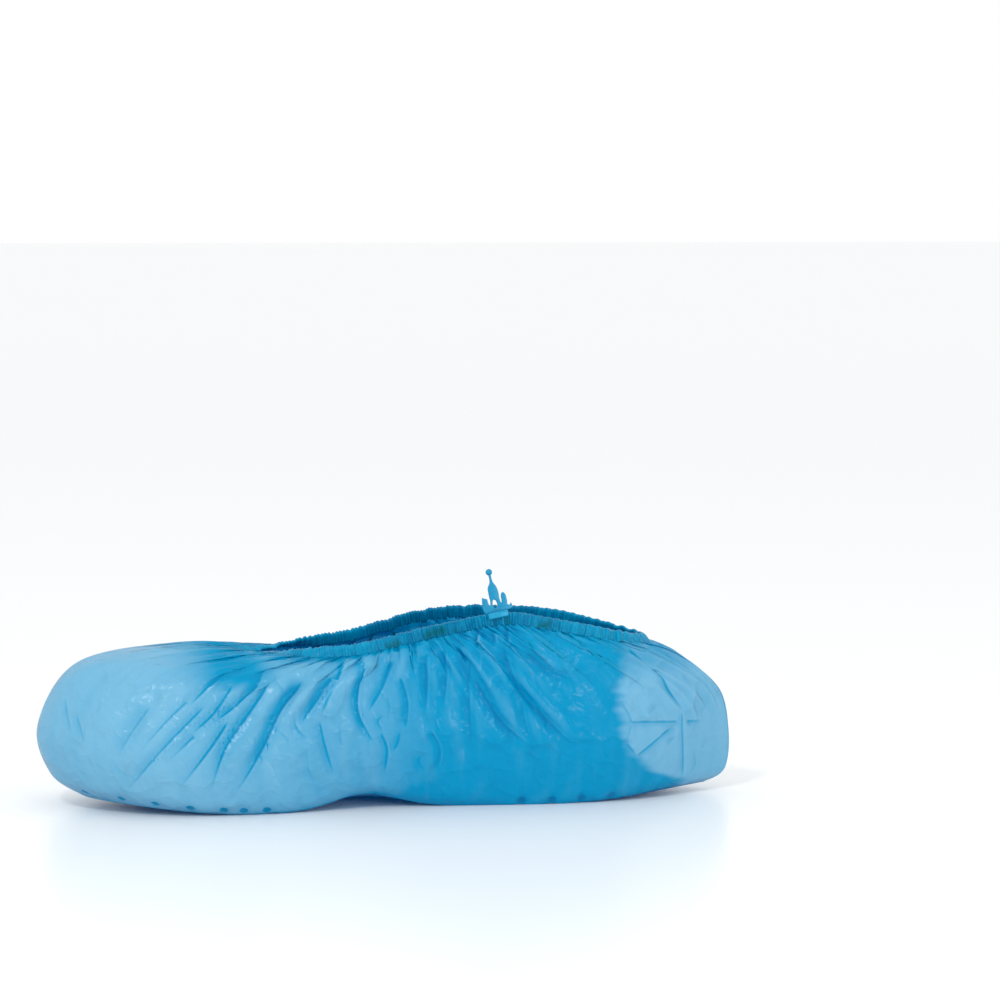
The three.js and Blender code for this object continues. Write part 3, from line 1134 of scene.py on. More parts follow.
def ring_quads(count: int, sides: int) -> Array:
    """Faces of a closed ring, whose points are numbered section by section.

    Args:
        count: How many sections go round the ring.
        sides: Points of each section.

    Returns:
        Four point numbers for each face.
    """
    face = np.arange(count * sides).reshape(count, sides)
    ahead = np.roll(face, -1, axis=0)
    beside, across = np.roll(face, -1, axis=1), np.roll(ahead, -1, axis=1)
    return np.stack([face, beside, across, ahead], axis=-1).reshape(-1, 4)


def wall_values(outer: Array, inner: Array) -> Array:
    """Values for the points of a bag's wall.

    Args:
        outer: Values on the outer face's grid.
        inner: Values for the inner face, on the same grid.

    Returns:
        All of the outer values, then every second row and column of the inner ones.
    """
    shape = (-1, *outer.shape[2:])
    return np.concatenate([outer.reshape(shape), inner[::2, ::2].reshape(shape)])


# ------------------------------------------------------------------ shader graphs


Colour = tuple[float, float, float]
Operand = "Value | float"


@dataclass
class Value:
    """A number in a shader graph, on which arithmetic signs build Math nodes.

    Attributes:
        graph: The graph that it belongs to.
        socket: The socket that gives it.
    """

    graph: "Graph"
    socket: bpy.types.NodeSocket

    def __add__(self, other: Operand) -> "Value":
        """This number plus another."""
        return self.graph.math("ADD", self, other)

    def __radd__(self, other: Operand) -> "Value":
        """Another number plus this one."""
        return self.graph.math("ADD", other, self)

    def __sub__(self, other: Operand) -> "Value":
        """This number less another."""
        return self.graph.math("SUBTRACT", self, other)

    def __rsub__(self, other: Operand) -> "Value":
        """Another number less this one."""
        return self.graph.math("SUBTRACT", other, self)

    def __mul__(self, other: Operand) -> "Value":
        """This number times another."""
        return self.graph.math("MULTIPLY", self, other)

    def __rmul__(self, other: Operand) -> "Value":
        """Another number times this one."""
        return self.graph.math("MULTIPLY", other, self)

    def clamped(self) -> "Value":
        """The number held between 0 and 1."""
        return self.graph.math("ADD", self, 0.0, clamp=True)

    def between(self, low: float, high: float) -> "Value":
        """Smooth rise of the number.

        Args:
            low: Where the rise begins, at 0.
            high: Where it ends, at 1.

        Returns:
            The share of the rise.
        """
        settings = {"interpolation_type": "SMOOTHSTEP"}
        node = self.graph.node("ShaderNodeMapRange", settings, {0: self, 1: low, 2: high})
        return Value(self.graph, node.outputs[0])


class Graph:
    """The node tree of one material."""

    def __init__(self, name: str) -> None:
        """Makes a material with an empty tree.

        Args:
            name: Name of the material.
        """
        self.material = bpy.data.materials.new(name)
        self.material.use_nodes = True
        self.tree = self.material.node_tree
        self.tree.nodes.clear()

    def node(self, kind: str, settings: dict[str, Any], inputs: dict[Any, Any]) -> bpy.types.Node:
        """Makes a node.

        Args:
            kind: Blender's type name.
            settings: Properties of the node.
            inputs: Values or sockets by input name or number.

        Returns:
            The node.
        """
        made = self.tree.nodes.new(kind)
        for key, value in settings.items():
            setattr(made, key, value)
        for key, value in inputs.items():
            if isinstance(value, Value):
                value = value.socket
            if isinstance(value, bpy.types.NodeSocket):
                self.tree.links.new(value, made.inputs[key])
            else:
                made.inputs[key].default_value = value
        return made

    def math(self, operation: str, *values: Operand, clamp: bool = False) -> Value:
        """Adds a Math node.

        Args:
            operation: Blender's name of the operation.
            values: The numbers it works on.
            clamp: Whether its result is held between 0 and 1.

        Returns:
            The result.
        """
        settings = {"operation": operation, "use_clamp": clamp}
        made = self.node("ShaderNodeMath", settings, dict(enumerate(values)))
        return Value(self, made.outputs[0])

    def attribute(self, name: str) -> bpy.types.Node:
        """Node that reads an attribute of the mesh."""
        return self.node("ShaderNodeAttribute", {"attribute_name": name}, {})

    def scaled(self, vector: bpy.types.NodeSocket, *factors: float) -> bpy.types.NodeSocket:
        """Scales a vector.

        Args:
            vector: The vector.
            factors: One factor for all components, or one for each.

        Returns:
            The scaled vector.
        """
        inputs = {0: vector, 1: factors if len(factors) == 3 else factors * 3}
        return self.node("ShaderNodeVectorMath", {"operation": "MULTIPLY"}, inputs).outputs[0]

    def place(self) -> bpy.types.NodeSocket:
        """Object coordinates of the shaded point, in metres."""
        return self.node("ShaderNodeTexCoord", {}, {}).outputs["Object"]

    def painted(self, name: str) -> Value:
        """Number that an attribute of the mesh holds."""
        return Value(self, self.attribute(name).outputs["Fac"])

    def principled(self, **inputs: Any) -> bpy.types.NodeSocket:
        """Principled shader, whose inputs are named with _ for a space."""
        named = {key.replace("_", " "): value for key, value in inputs.items()}
        return self.node("ShaderNodeBsdfPrincipled", {}, named).outputs[0]

    def parts(self, vector: bpy.types.NodeSocket) -> tuple[Value, ...]:
        """The three components of a vector."""
        made = self.node("ShaderNodeSeparateXYZ", {}, {0: vector})
        return tuple(Value(self, socket) for socket in made.outputs)

    def noise(self, vector: bpy.types.NodeSocket, detail: float, roughness: float) -> Value:
        """Noise texture of scale 1 on a vector."""
        inputs = {"Vector": vector, "Scale": 1.0, "Detail": detail, "Roughness": roughness}
        return Value(self, self.node("ShaderNodeTexNoise", {}, inputs).outputs["Fac"])

    def ridged(self, vector: bpy.types.NodeSocket, detail: float) -> Value:
        """Noise folded at its middle, which makes thin ridges near 1."""
        level = self.noise(vector, detail, 0.5)
        return 1.0 - self.math("ABSOLUTE", level * 4.0 - 2.0)

    def facets(self, vector: bpy.types.NodeSocket) -> Value:
        """Shallow bowls that meet in sharp ridges, like film that has been crumpled.

        Args:
            vector: Place, in cells.

        Returns:
            The square of the distance to the cell's middle, with the cells bent by a soft noise.
        """
        warp = self.node("ShaderNodeTexNoise", {}, {"Vector": vector, "Scale": 1.3, "Detail": 1.0})
        moved = self.scaled(warp.outputs["Color"], 1.4)
        place = self.node("ShaderNodeVectorMath", {"operation": "ADD"}, {0: vector, 1: moved})
        inputs = {"Vector": place.outputs[0], "Scale": 1.0}
        cells = Value(self, self.node("ShaderNodeTexVoronoi", {}, inputs).outputs["Distance"])
        return cells * cells

    def blend(self, share: Value, low: Any, high: Any) -> bpy.types.NodeSocket:
        """Mixes two colours.

        Args:
            share: Share of the second colour.
            low: Colour at share 0, or its socket.
            high: Colour at share 1, or its socket.

        Returns:
            The mixed colour.
        """
        settings = {"data_type": "RGBA"}
        ends = [(*end, 1.0) if isinstance(end, tuple) else end for end in (low, high)]
        made = self.node("ShaderNodeMix", settings, {0: share, 6: ends[0], 7: ends[1]})
        return made.outputs[2]

    def bump(self, height: Value, distance: float, strength: float) -> bpy.types.NodeSocket:
        """Normal bent by a height."""
        inputs = {"Height": height, "Distance": distance, "Strength": strength}
        return self.node("ShaderNodeBump", {}, inputs).outputs[0]

    def surface(self, shader: bpy.types.NodeSocket) -> bpy.types.Material:
        """Ends the tree in a surface shader."""
        self.node("ShaderNodeOutputMaterial", {}, {"Surface": shader})
        return self.material


@dataclass(frozen=True)
class FilmFinish:
    """Thin glossy polyethylene film, with pale and deep zones as the mesh's "ink" says.

    Attributes:
        name: Name of the material.
        light: Colour at ink 0.
        deep: Colour at ink 1.
        darkest: Colour at ink 2, the painted shade of the tightest folds.
        glow: Colour of light that comes through.
        through: Share of light that comes through.
        roughness: Roughness between creases.
        gloss: Index of refraction, low for a soft shine.
        crinkle: Height that the bump's heights are shares of, in metres.
        bend: Strength of the bump.
        streak: Scale of the streaks along the pull, then how much they change ink and roughness.
        line: Rate at which a crease's dark line of painted shade falls off, and its ink.
        band: Distance of the lighter band beside it, a painted highlight, and its ink.
        groove: Rate at which a crease's groove falls off, and its height.
        notch: Share of a notch's bell where its edge begins and ends, and its ink, painted shade in
            the notch.
        wide: Scale and height of the wide facets.
        narrow: Scale and height of the narrow facets.
        ridges: Scale and height of the fine ridges.
    """

    name: str = "film"
    light: Colour = (0.240, 0.600, 0.800)
    deep: Colour = (0.0, 0.370, 0.630)
    darkest: Colour = (0.0, 0.250, 0.500)
    glow: Colour = (0.0, 0.55, 0.85)
    through: float = 0.36
    roughness: float = 0.15
    gloss: float = 1.24
    crinkle: float = 0.0011
    bend: float = 0.7
    streak: tuple[float, float, float] = (0.12, 0.45, 0.12)
    line: tuple[float, float] = (2.4, 1.25)
    band: tuple[float, float] = (1.3, 0.45)
    groove: tuple[float, float] = (1.4, 0.35)
    notch: tuple[float, float, float] = (0.42, 0.58, 1.1)
    wide: tuple[float, float] = (62.0, 1.9)
    narrow: tuple[float, float] = (155.0, 0.45)
    ridges: tuple[float, float] = (90.0, 0.10)

    def build(self) -> bpy.types.Material:
        """Makes the material. It reads the attributes "ink", "pull" and "fold".

        Returns:
            The material. The dark line of a crease is painted shade, exp(-2.4 * distance^2), beside
            a lighter band of painted highlight, exp(-(distance + 1.3)^2).
        """
        graph = Graph(self.name)
        pull = graph.attribute("pull").outputs["Vector"]
        place = graph.place()
        away, force, notch = graph.parts(graph.attribute("fold").outputs["Vector"])
        streak = graph.noise(graph.scaled(pull, self.streak[0]), 2.0, 0.5)
        ridges = graph.ridged(graph.scaled(place, self.ridges[0]), 1.5)
        wide = graph.facets(graph.scaled(place, self.wide[0]))
        narrow = graph.facets(graph.scaled(place, self.narrow[0]))
        line = graph.math("EXPONENT", away * away * -self.line[0])
        beside = away + self.band[0]
        band = graph.math("EXPONENT", beside * beside * -1.0)
        groove = graph.math("EXPONENT", graph.math("ABSOLUTE", away) * -self.groove[0])
        tone_and_shade = graph.painted("tone_and_shade") + (streak - 0.5) * self.streak[1]
        # Painted light and shade: the crease's dark line is painted shade and the lighter band
        # beside it a painted highlight; the notches below are painted darker, as painted shade.
        tone_and_shade = tone_and_shade + force * (line * self.line[1] - band * self.band[1])
        tone_and_shade = tone_and_shade + notch.between(*self.notch[:2]) * self.notch[2]
        base = graph.blend(tone_and_shade.clamped(), self.light, self.deep)
        base = graph.blend((tone_and_shade - 1.0).clamped(), base, self.darkest)
        height = wide * self.wide[1] + narrow * self.narrow[1] + ridges * self.ridges[1]
        height = height - force * groove * self.groove[1]
        normal = graph.bump(height, self.crinkle, self.bend)
        roughness = self.roughness + streak * self.streak[2]
        solid = graph.principled(
            Base_Color=base, Roughness=roughness, IOR=self.gloss, Normal=normal
        )
        glow = graph.node("ShaderNodeBsdfTranslucent", {}, {"Color": (*self.glow, 1.0)}).outputs[0]
        both = graph.node("ShaderNodeMixShader", {}, {0: self.through, 1: solid, 2: glow})
        return graph.surface(both.outputs[0])


@dataclass(frozen=True)
class HemFinish:
    """The film of the hem, four layers thick, with the elastic showing through in places.

    Attributes:
        name: Name of the material.
        ridge: Colour of the tops of the ruffles.
        valley: Colour between them, the painted shade of the ruffles' hollows.
        elastic: Colour where the elastic shows through.
        roughness: Roughness.
        speckle: Scale of the fine speckle, and how much it changes the ink.
        fleck: Scales of the flecks across and up the hem, and how much they change the ink.
        crinkle: Height of the flecks, in metres.
    """

    name: str = "hem"
    ridge: Colour = (0.0, 0.270, 0.470)
    valley: Colour = (0.0, 0.150, 0.310)
    elastic: Colour = (0.0, 0.120, 0.160)
    roughness: float = 0.24
    speckle: tuple[float, float] = (900.0, 0.5)
    fleck: tuple[float, float, float] = (420.0, 260.0, 1.6)
    crinkle: float = 0.0008

    def build(self) -> bpy.types.Material:
        """Makes the material. It reads the attributes "ink" and "shows".

        Returns:
            The material.
        """
        graph = Graph(self.name)
        place = graph.place()
        across, up, strength = self.fleck
        speckle = graph.noise(graph.scaled(place, self.speckle[0]), 3.0, 0.6)
        fleck = graph.noise(graph.scaled(place, across, across, up), 2.0, 0.6)
        tone_and_shade = graph.painted("tone_and_shade") + (speckle - 0.5) * self.speckle[1] + (fleck - 0.5) * strength
        base = graph.blend(tone_and_shade.clamped(), self.ridge, self.valley)
        base = graph.blend(graph.painted("shows").clamped(), base, self.elastic)
        normal = graph.bump(fleck + speckle * 0.4, self.crinkle, 0.6)
        return graph.surface(
            graph.principled(Base_Color=base, Roughness=self.roughness, IOR=1.2, Normal=normal)
        )


@dataclass(frozen=True)
class PlainFinish:
    """One even plastic or rubber.

    Attributes:
        name: Name of the material.
        colour: Its colour.
        roughness: Its roughness.
        grain: Height of its fine grain, in metres.
        fine: Scale of the grain.
    """

    name: str
    colour: Colour
    roughness: float
    grain: float
    fine: float = 1400.0

    def build(self) -> bpy.types.Material:
        """Makes the material, a fifth darker in the hollows of its grain.

        Returns:
            The material.
        """
        graph = Graph(self.name)
        speckle = graph.noise(graph.scaled(graph.place(), self.fine), 2.0, 0.5)
        shade = tuple(0.8 * part for part in self.colour)
        base = graph.blend(speckle.between(0.35, 0.65), shade, self.colour)
        normal = graph.bump(speckle, self.grain, 0.4)
        return graph.surface(
            graph.principled(Base_Color=base, Roughness=self.roughness, IOR=1.4, Normal=normal)
        )


# ------------------------------------------------------------------ sub-assemblies


def enrol(piece: bpy.types.Object, node: str, material: bpy.types.Material) -> None:
    """Gives a piece its material, attaches it to the root body, and hides the CAD node that it
    replaces.

    Args:
        piece: The piece.
        node: The CAD node that it replaces.
        material: Its material.
    """
    piece.data.materials.append(material)
    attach(piece, "root")
    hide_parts(node)


@dataclass
class FilmBag:
    """The film bag.

    Attributes:
        film: The solved film.
        wall: Thickness of its wall.
        deep_line: X towards the heel, and the height below which the film is painted deep at each.
        rear_line: Heights, and the X where the film leaves the heel at each.
        notches: First and last X of each run of the tread's notches, and how many in it.
        notch: Radius and depth of a notch.
        notch_row: How far down the notches lie, counted in rings from the mouth.
    """

    film: Film
    wall: float = 0.3
    deep_line: tuple[tuple[float, ...], ...] = (
        (-22, -8, 6, 28, 42, 56, 66, 75),
        (-8, 3, 18, 27, 36, 55, 75, 100),
    )
    rear_line: tuple[tuple[float, ...], ...] = ((8, 17, 31, 54, 76), (-150, -129, -116, -113, -117))
    notches: tuple[tuple[float, float, int], ...] = (
        (158.0, 90.0, 5),
        (79.0, 68.0, 2),
        (-64.0, -112.0, 4),
    )
    notch: tuple[float, float] = (2.6, 1.0)
    notch_row: float = 4.5

    def zones(self) -> Array:
        """How deep the colour is in each region, by place.

        Returns:
            A number for each point: low at the toe and on the loose film behind the heel, where the
            paleness is painted light for light that comes through the film; rising towards the
            heel, and high on the forefoot's top, low on the waist and close under the hem.
        """
        x, z = self.film.base[..., 0], self.film.base[..., 2]
        down = self.film.down[:, None]
        # Painted light: pale at the toe, for light that comes through the film; deeper towards the
        # heel.
        tone = 0.02 + 0.42 * smooth_step(-112.0, -30.0, -x) + 0.54 * smooth_step(-36.0, 30.0, -x)
        tone += 0.32 * bell(x - 88.0, 28.0) * bell(z - 46.0, 22.0)
        tone = np.maximum(tone, 1.15 * bell(x - 84.0, 22.0) * smooth_step(58.0, 71.0, z))
        edge = np.interp(-x, self.deep_line[0], self.deep_line[1])
        tone = np.maximum(tone, 1.0 * smooth_step(-15.0, 12.0, edge - z))
        # Painted light: the loose film behind the heel is painted pale, for light that comes
        # through it.
        rear = np.interp(z, self.rear_line[0], self.rear_line[1])
        rear = rear + 1.4 * np.sin(0.55 * z) + 0.8 * np.sin(1.3 * z + 1.0)
        pouch = smooth_step(-3.0, 6.0, rear - x)
        tone += (0.04 + 0.55 * smooth_step(62.0, 74.0, z) - tone) * pouch
        rim = smooth_step(-1.5, -0.2, -down) * (1.0 - smooth_step(92.0, 106.0, x))
        tone = np.maximum(tone, 1.05 * rim * (1.0 - 0.75 * pouch))
        return tone

    def tread(self) -> Array:
        """How much each point lies in a notch of the tread.

        Returns:
            A bell about each notch, from 0 to 1, along a row between the two lowest rings.
        """
        base = self.film.base
        edge = base[np.argmin(np.abs(self.film.down - self.notch_row))]
        inside = np.zeros(base.shape[:2])
        for first, last, count in self.notches:
            for place in np.linspace(first, last, count):
                for side in (1.0, -1.0):
                    on_side = np.where(edge[:, 1] * side > 0, np.abs(edge[:, 0] - place), np.inf)
                    middle = edge[on_side.argmin()]
                    away = np.linalg.norm(base - middle, axis=-1)
                    inside = np.maximum(inside, bell(away, self.notch[0]))
        return inside

    def lowest_near(self, offset: Array) -> Array:
        """Least offset about each point, which keeps the coarser inner face under the outer one.

        Args:
            offset: Offset of each point.

        Returns:
            The least of the offsets up to two columns and one row away.
        """
        lowest = offset
        for shift in (-2, -1, 1, 2):
            lowest = np.minimum(lowest, np.roll(offset, shift, axis=1))
        below = np.minimum(np.minimum(lowest[:-2], lowest[2:]), lowest[1:-1])
        return np.concatenate([lowest[:1], below, lowest[-1:]])

    def build(self) -> bpy.types.Object:
        """Makes the film's shell, paints it and enrols it.

        Returns:
            The piece.
        """
        film = self.film
        notches = self.tread()
        outer = film.points - film.normals * (notches * self.notch[1])[..., None]
        outer[..., 2] = np.maximum(outer[..., 2], 0.0)
        normals = film.normals.copy()
        normals[-1] = (0.0, 0.0, -1.0)
        offset = np.sum((outer - film.base) * normals, axis=-1)
        hidden = smooth_step(0.0, 0.3, film.down)[:, None]
        sunk = (offset - self.lowest_near(offset)) * hidden
        inner = outer - normals * (self.wall + sunk)[..., None]
        rows, count = outer.shape[:2]
        piece = mesh_object("cover_film", wall_values(outer, inner), bag_quads(rows, count))
        even = blurred(blurred(offset, 1, 1, True), 1, 0, False)
        relief = blurred(blurred(offset, 5, 1, True), 2, 0, False) - even
        tone_and_shade = self.zones() + film.tone_and_shade
        # Painted shade: a dark line along the sole's edge.
        tone_and_shade += 0.4 * bell(film.down - 4.9, 0.22)[:, None]
        # Painted light and shade of the film's own folds: deeper in their valleys, partly doubled
        # film and partly painted shade, and lighter on their ridges, a painted highlight.
        tone_and_shade += 0.30 * np.clip(relief, 0.0, 1.2) - 0.22 * np.clip(-relief, 0.0, 1.0)
        pull = film.base[np.argmin(np.abs(film.down - 3.0))][None] * np.ones((rows, 1, 1))
        pull[..., 2] = -5.0 * film.down[:, None]
        # This attribute carries the creases' painted shade lines and the notches, which the finish
        # paints darker as painted shade.
        fold = np.concatenate([film.line, notches[..., None]], axis=-1)
        for name, values in (("tone_and_shade", tone_and_shade), ("fold", fold), ("pull", pull)):
            paint(piece, name, wall_values(values, values))
        enrol(piece, "film_bag", FilmFinish().build())
        return piece


@dataclass
class OpeningHem:
    """The folded edge of the film with the elastic in it.

    Attributes:
        form: The smooth bag.
        film: The solved film.
        columns: Sections round the mouth.
        height: Height of the hem.
        wall: Thickness of its two plies together.
        pitch: Least and greatest pitch of the ruffles.
        ruffle: Depth of the ruffles at the toe end.
        calm: X of the clip, and the half-length over which the hem is stretched flatter.
        elastic: Radius of the elastic, and its height in the hem.
        cord: Sections of the elastic round the mouth, and points of each.
        knots: How many places round the mouth set the pitch of the ruffles, their depth, where
            the elastic shows through, and how high it lies there.
        wall_rises: Heights of the section's points on its two outer faces, foot first.
        slot_rises: Heights of the points on the two faces of the channel inside.
        seed: Seed of the ruffles.
    """

    form: BagForm
    film: Film
    columns: int = 2400
    height: float = 6.0
    wall: float = 0.3
    pitch: tuple[float, float] = (0.9, 2.3)
    ruffle: float = 0.12
    calm: tuple[float, float] = (-50.0, 46.0)
    elastic: tuple[float, float] = (0.42, 4.0)
    cord: tuple[int, int] = (720, 8)
    knots: tuple[int, int, int, int] = (320, 300, 150, 90)
    wall_rises: tuple[float, ...] = (-0.6, 0.2, 1.2, 2.4, 3.6, 4.6, 5.3, 5.85)
    slot_rises: tuple[float, ...] = (-0.6, 1.2, 3.0, 4.6, 5.3)
    seed: int = 11

    def half_width(self, rise: Array) -> Array:
        """Half-width of the hem at a height, widest round the elastic and closed at the top."""
        rises = (-0.6, 1.5, 3.2, 4.6, 5.4, 5.85, 6.0)
        return np.interp(rise, rises, (0.36, 0.62, 0.92, 0.95, 0.75, 0.40, 0.0))

    def frame(self, columns: int) -> tuple[Array, Array, Array, Array]:
        """Foot, up and out at even steps round the mouth, and the distance gone.

        Args:
            columns: How many steps.

        Returns:
            Three arrays of vectors and one of distances. The foot is the middle of the film's own
            edge, so the hem follows its gathers.
        """
        angle = self.form.angles(1)
        edge = self.film.points[0] - 0.5 * self.wall * self.film.normals[0]
        closed = np.concatenate([edge, edge[:1]])
        smooth = np.concatenate([self.film.base[0], self.film.base[0][:1]])
        gone = np.concatenate([[0.0], np.cumsum(np.linalg.norm(np.diff(smooth, axis=0), axis=1))])
        wanted = gone[-1] * np.arange(columns) / columns
        turn = np.interp(wanted, gone, np.append(angle, 2.0 * np.pi))
        foot = np.stack([np.interp(wanted, gone, closed[:, axis]) for axis in range(3)], axis=-1)
        up, out = self.form.hem_lean(turn)
        return foot, up, out, wanted

    def section(self) -> tuple[Array, Array]:
        """Section of the hem: out, up, over the top, down the back, and round the channel.

        Returns:
            The height of each point, and its distance out from the section's middle.
        """
        wall, slot = np.array(self.wall_rises), np.array(self.slot_rises)
        many, few = len(wall), len(slot)
        rise = np.concatenate([wall, [self.height], wall[::-1], slot, slot[::-1]])
        side = np.repeat([1.0, 0.0, -1.0, -1.0, 1.0], [many, 1, many, few, few])
        skin = np.repeat([0.0, self.wall], [2 * many + 1, 2 * few])
        return rise, side * np.maximum(self.half_width(rise) - skin, 0.06)

    def build(self) -> bpy.types.Object:
        """Makes the ruffled hem, paints it and enrols it.

        Returns:
            The piece.
        """
        foot, up, out, gone = self.frame(self.columns)
        chance = np.random.default_rng(self.seed)

        def knotted(count: int, low: float, high: float) -> Array:
            """Random values at even places round the mouth, with straight runs between them."""
            knots = chance.uniform(low, high, count)
            return np.interp(gone, np.linspace(0.0, gone[-1], count), knots)

        pitches, depths, patches, levels = self.knots
        phase = np.cumsum((gone[1] - gone[0]) / knotted(pitches, *self.pitch))
        phase = phase * round(phase[-1]) / phase[-1]
        lobe = np.abs(np.sin(np.pi * phase)) ** 0.8
        uneven = knotted(depths, 0.1, 1.5)
        patch = knotted(patches, 0.0, 1.0)
        level = knotted(levels, 0.2, 3.6)
        flat = bell(foot[:, 0] - self.calm[0], self.calm[1])
        wave = (self.ruffle * uneven * (1.0 - 0.65 * flat) * (lobe - 0.62))[:, None]
        rise, aside = self.section()
        sway = np.interp(rise, (-0.6, 1.0, 4.0, 6.0), (0.15, 0.9, 1.0, 0.7))
        sway = sway * np.where(aside < 0, 0.75, 1.0)
        crest = np.where(rise > 5.0, 0.2, 0.0) * wave
        points = foot[:, None] + out[:, None] * (aside + wave * sway)[..., None]
        points = points + up[:, None] * (rise + crest)[..., None]
        quads = ring_quads(self.columns, len(rise))
        piece = mesh_object("hem_ruffle", points.reshape(-1, 3), quads)
        back = -foot[:, 0]
        near = smooth_step(-16.0, 0.0, back) * (1.0 - smooth_step(78.0, 92.0, back))
        # Painted shade between the ruffles, whose tops stay lighter; the colour also deepens
        # towards the hem's foot.
        tone_and_shade = ((1.0 - lobe) * uneven)[:, None] * 0.7
        tone_and_shade = tone_and_shade + 0.35 * np.interp(rise, (0.0, 2.0, 6.0), (0.7, 0.4, 0.0))
        tone_and_shade = tone_and_shade + 0.45 * near[:, None]
        shows = smooth_step(0.5, 0.75, patch * near * (foot[:, 1] > 0))[:, None]
        shows = shows * bell(rise - level[:, None], 2.1)
        paint(piece, "tone_and_shade", tone_and_shade.ravel())
        paint(piece, "shows", 0.9 * shows.ravel())
        enrol(piece, "opening_hem", HemFinish().build())
        return piece

    def build_elastic(self) -> bpy.types.Object:
        """Makes the elastic that runs inside the hem, and enrols it.

        Returns:
            The piece.
        """
        radius, level = self.elastic
        sections, sides = self.cord
        foot, up, out, _ = self.frame(sections)
        around = 2.0 * np.pi * np.arange(sides) / sides
        points = foot[:, None] + up[:, None] * (level + radius * np.sin(around))[:, None]
        points = points + out[:, None] * (radius * np.cos(around))[:, None]
        quads = ring_quads(sections, sides)
        piece = mesh_object("elastic_cord", points.reshape(-1, 3), quads)
        finish = PlainFinish("elastic", (0.0, 0.11, 0.14), 0.55, 1e-4)
        enrol(piece, "elastic_band", finish.build())
        return piece


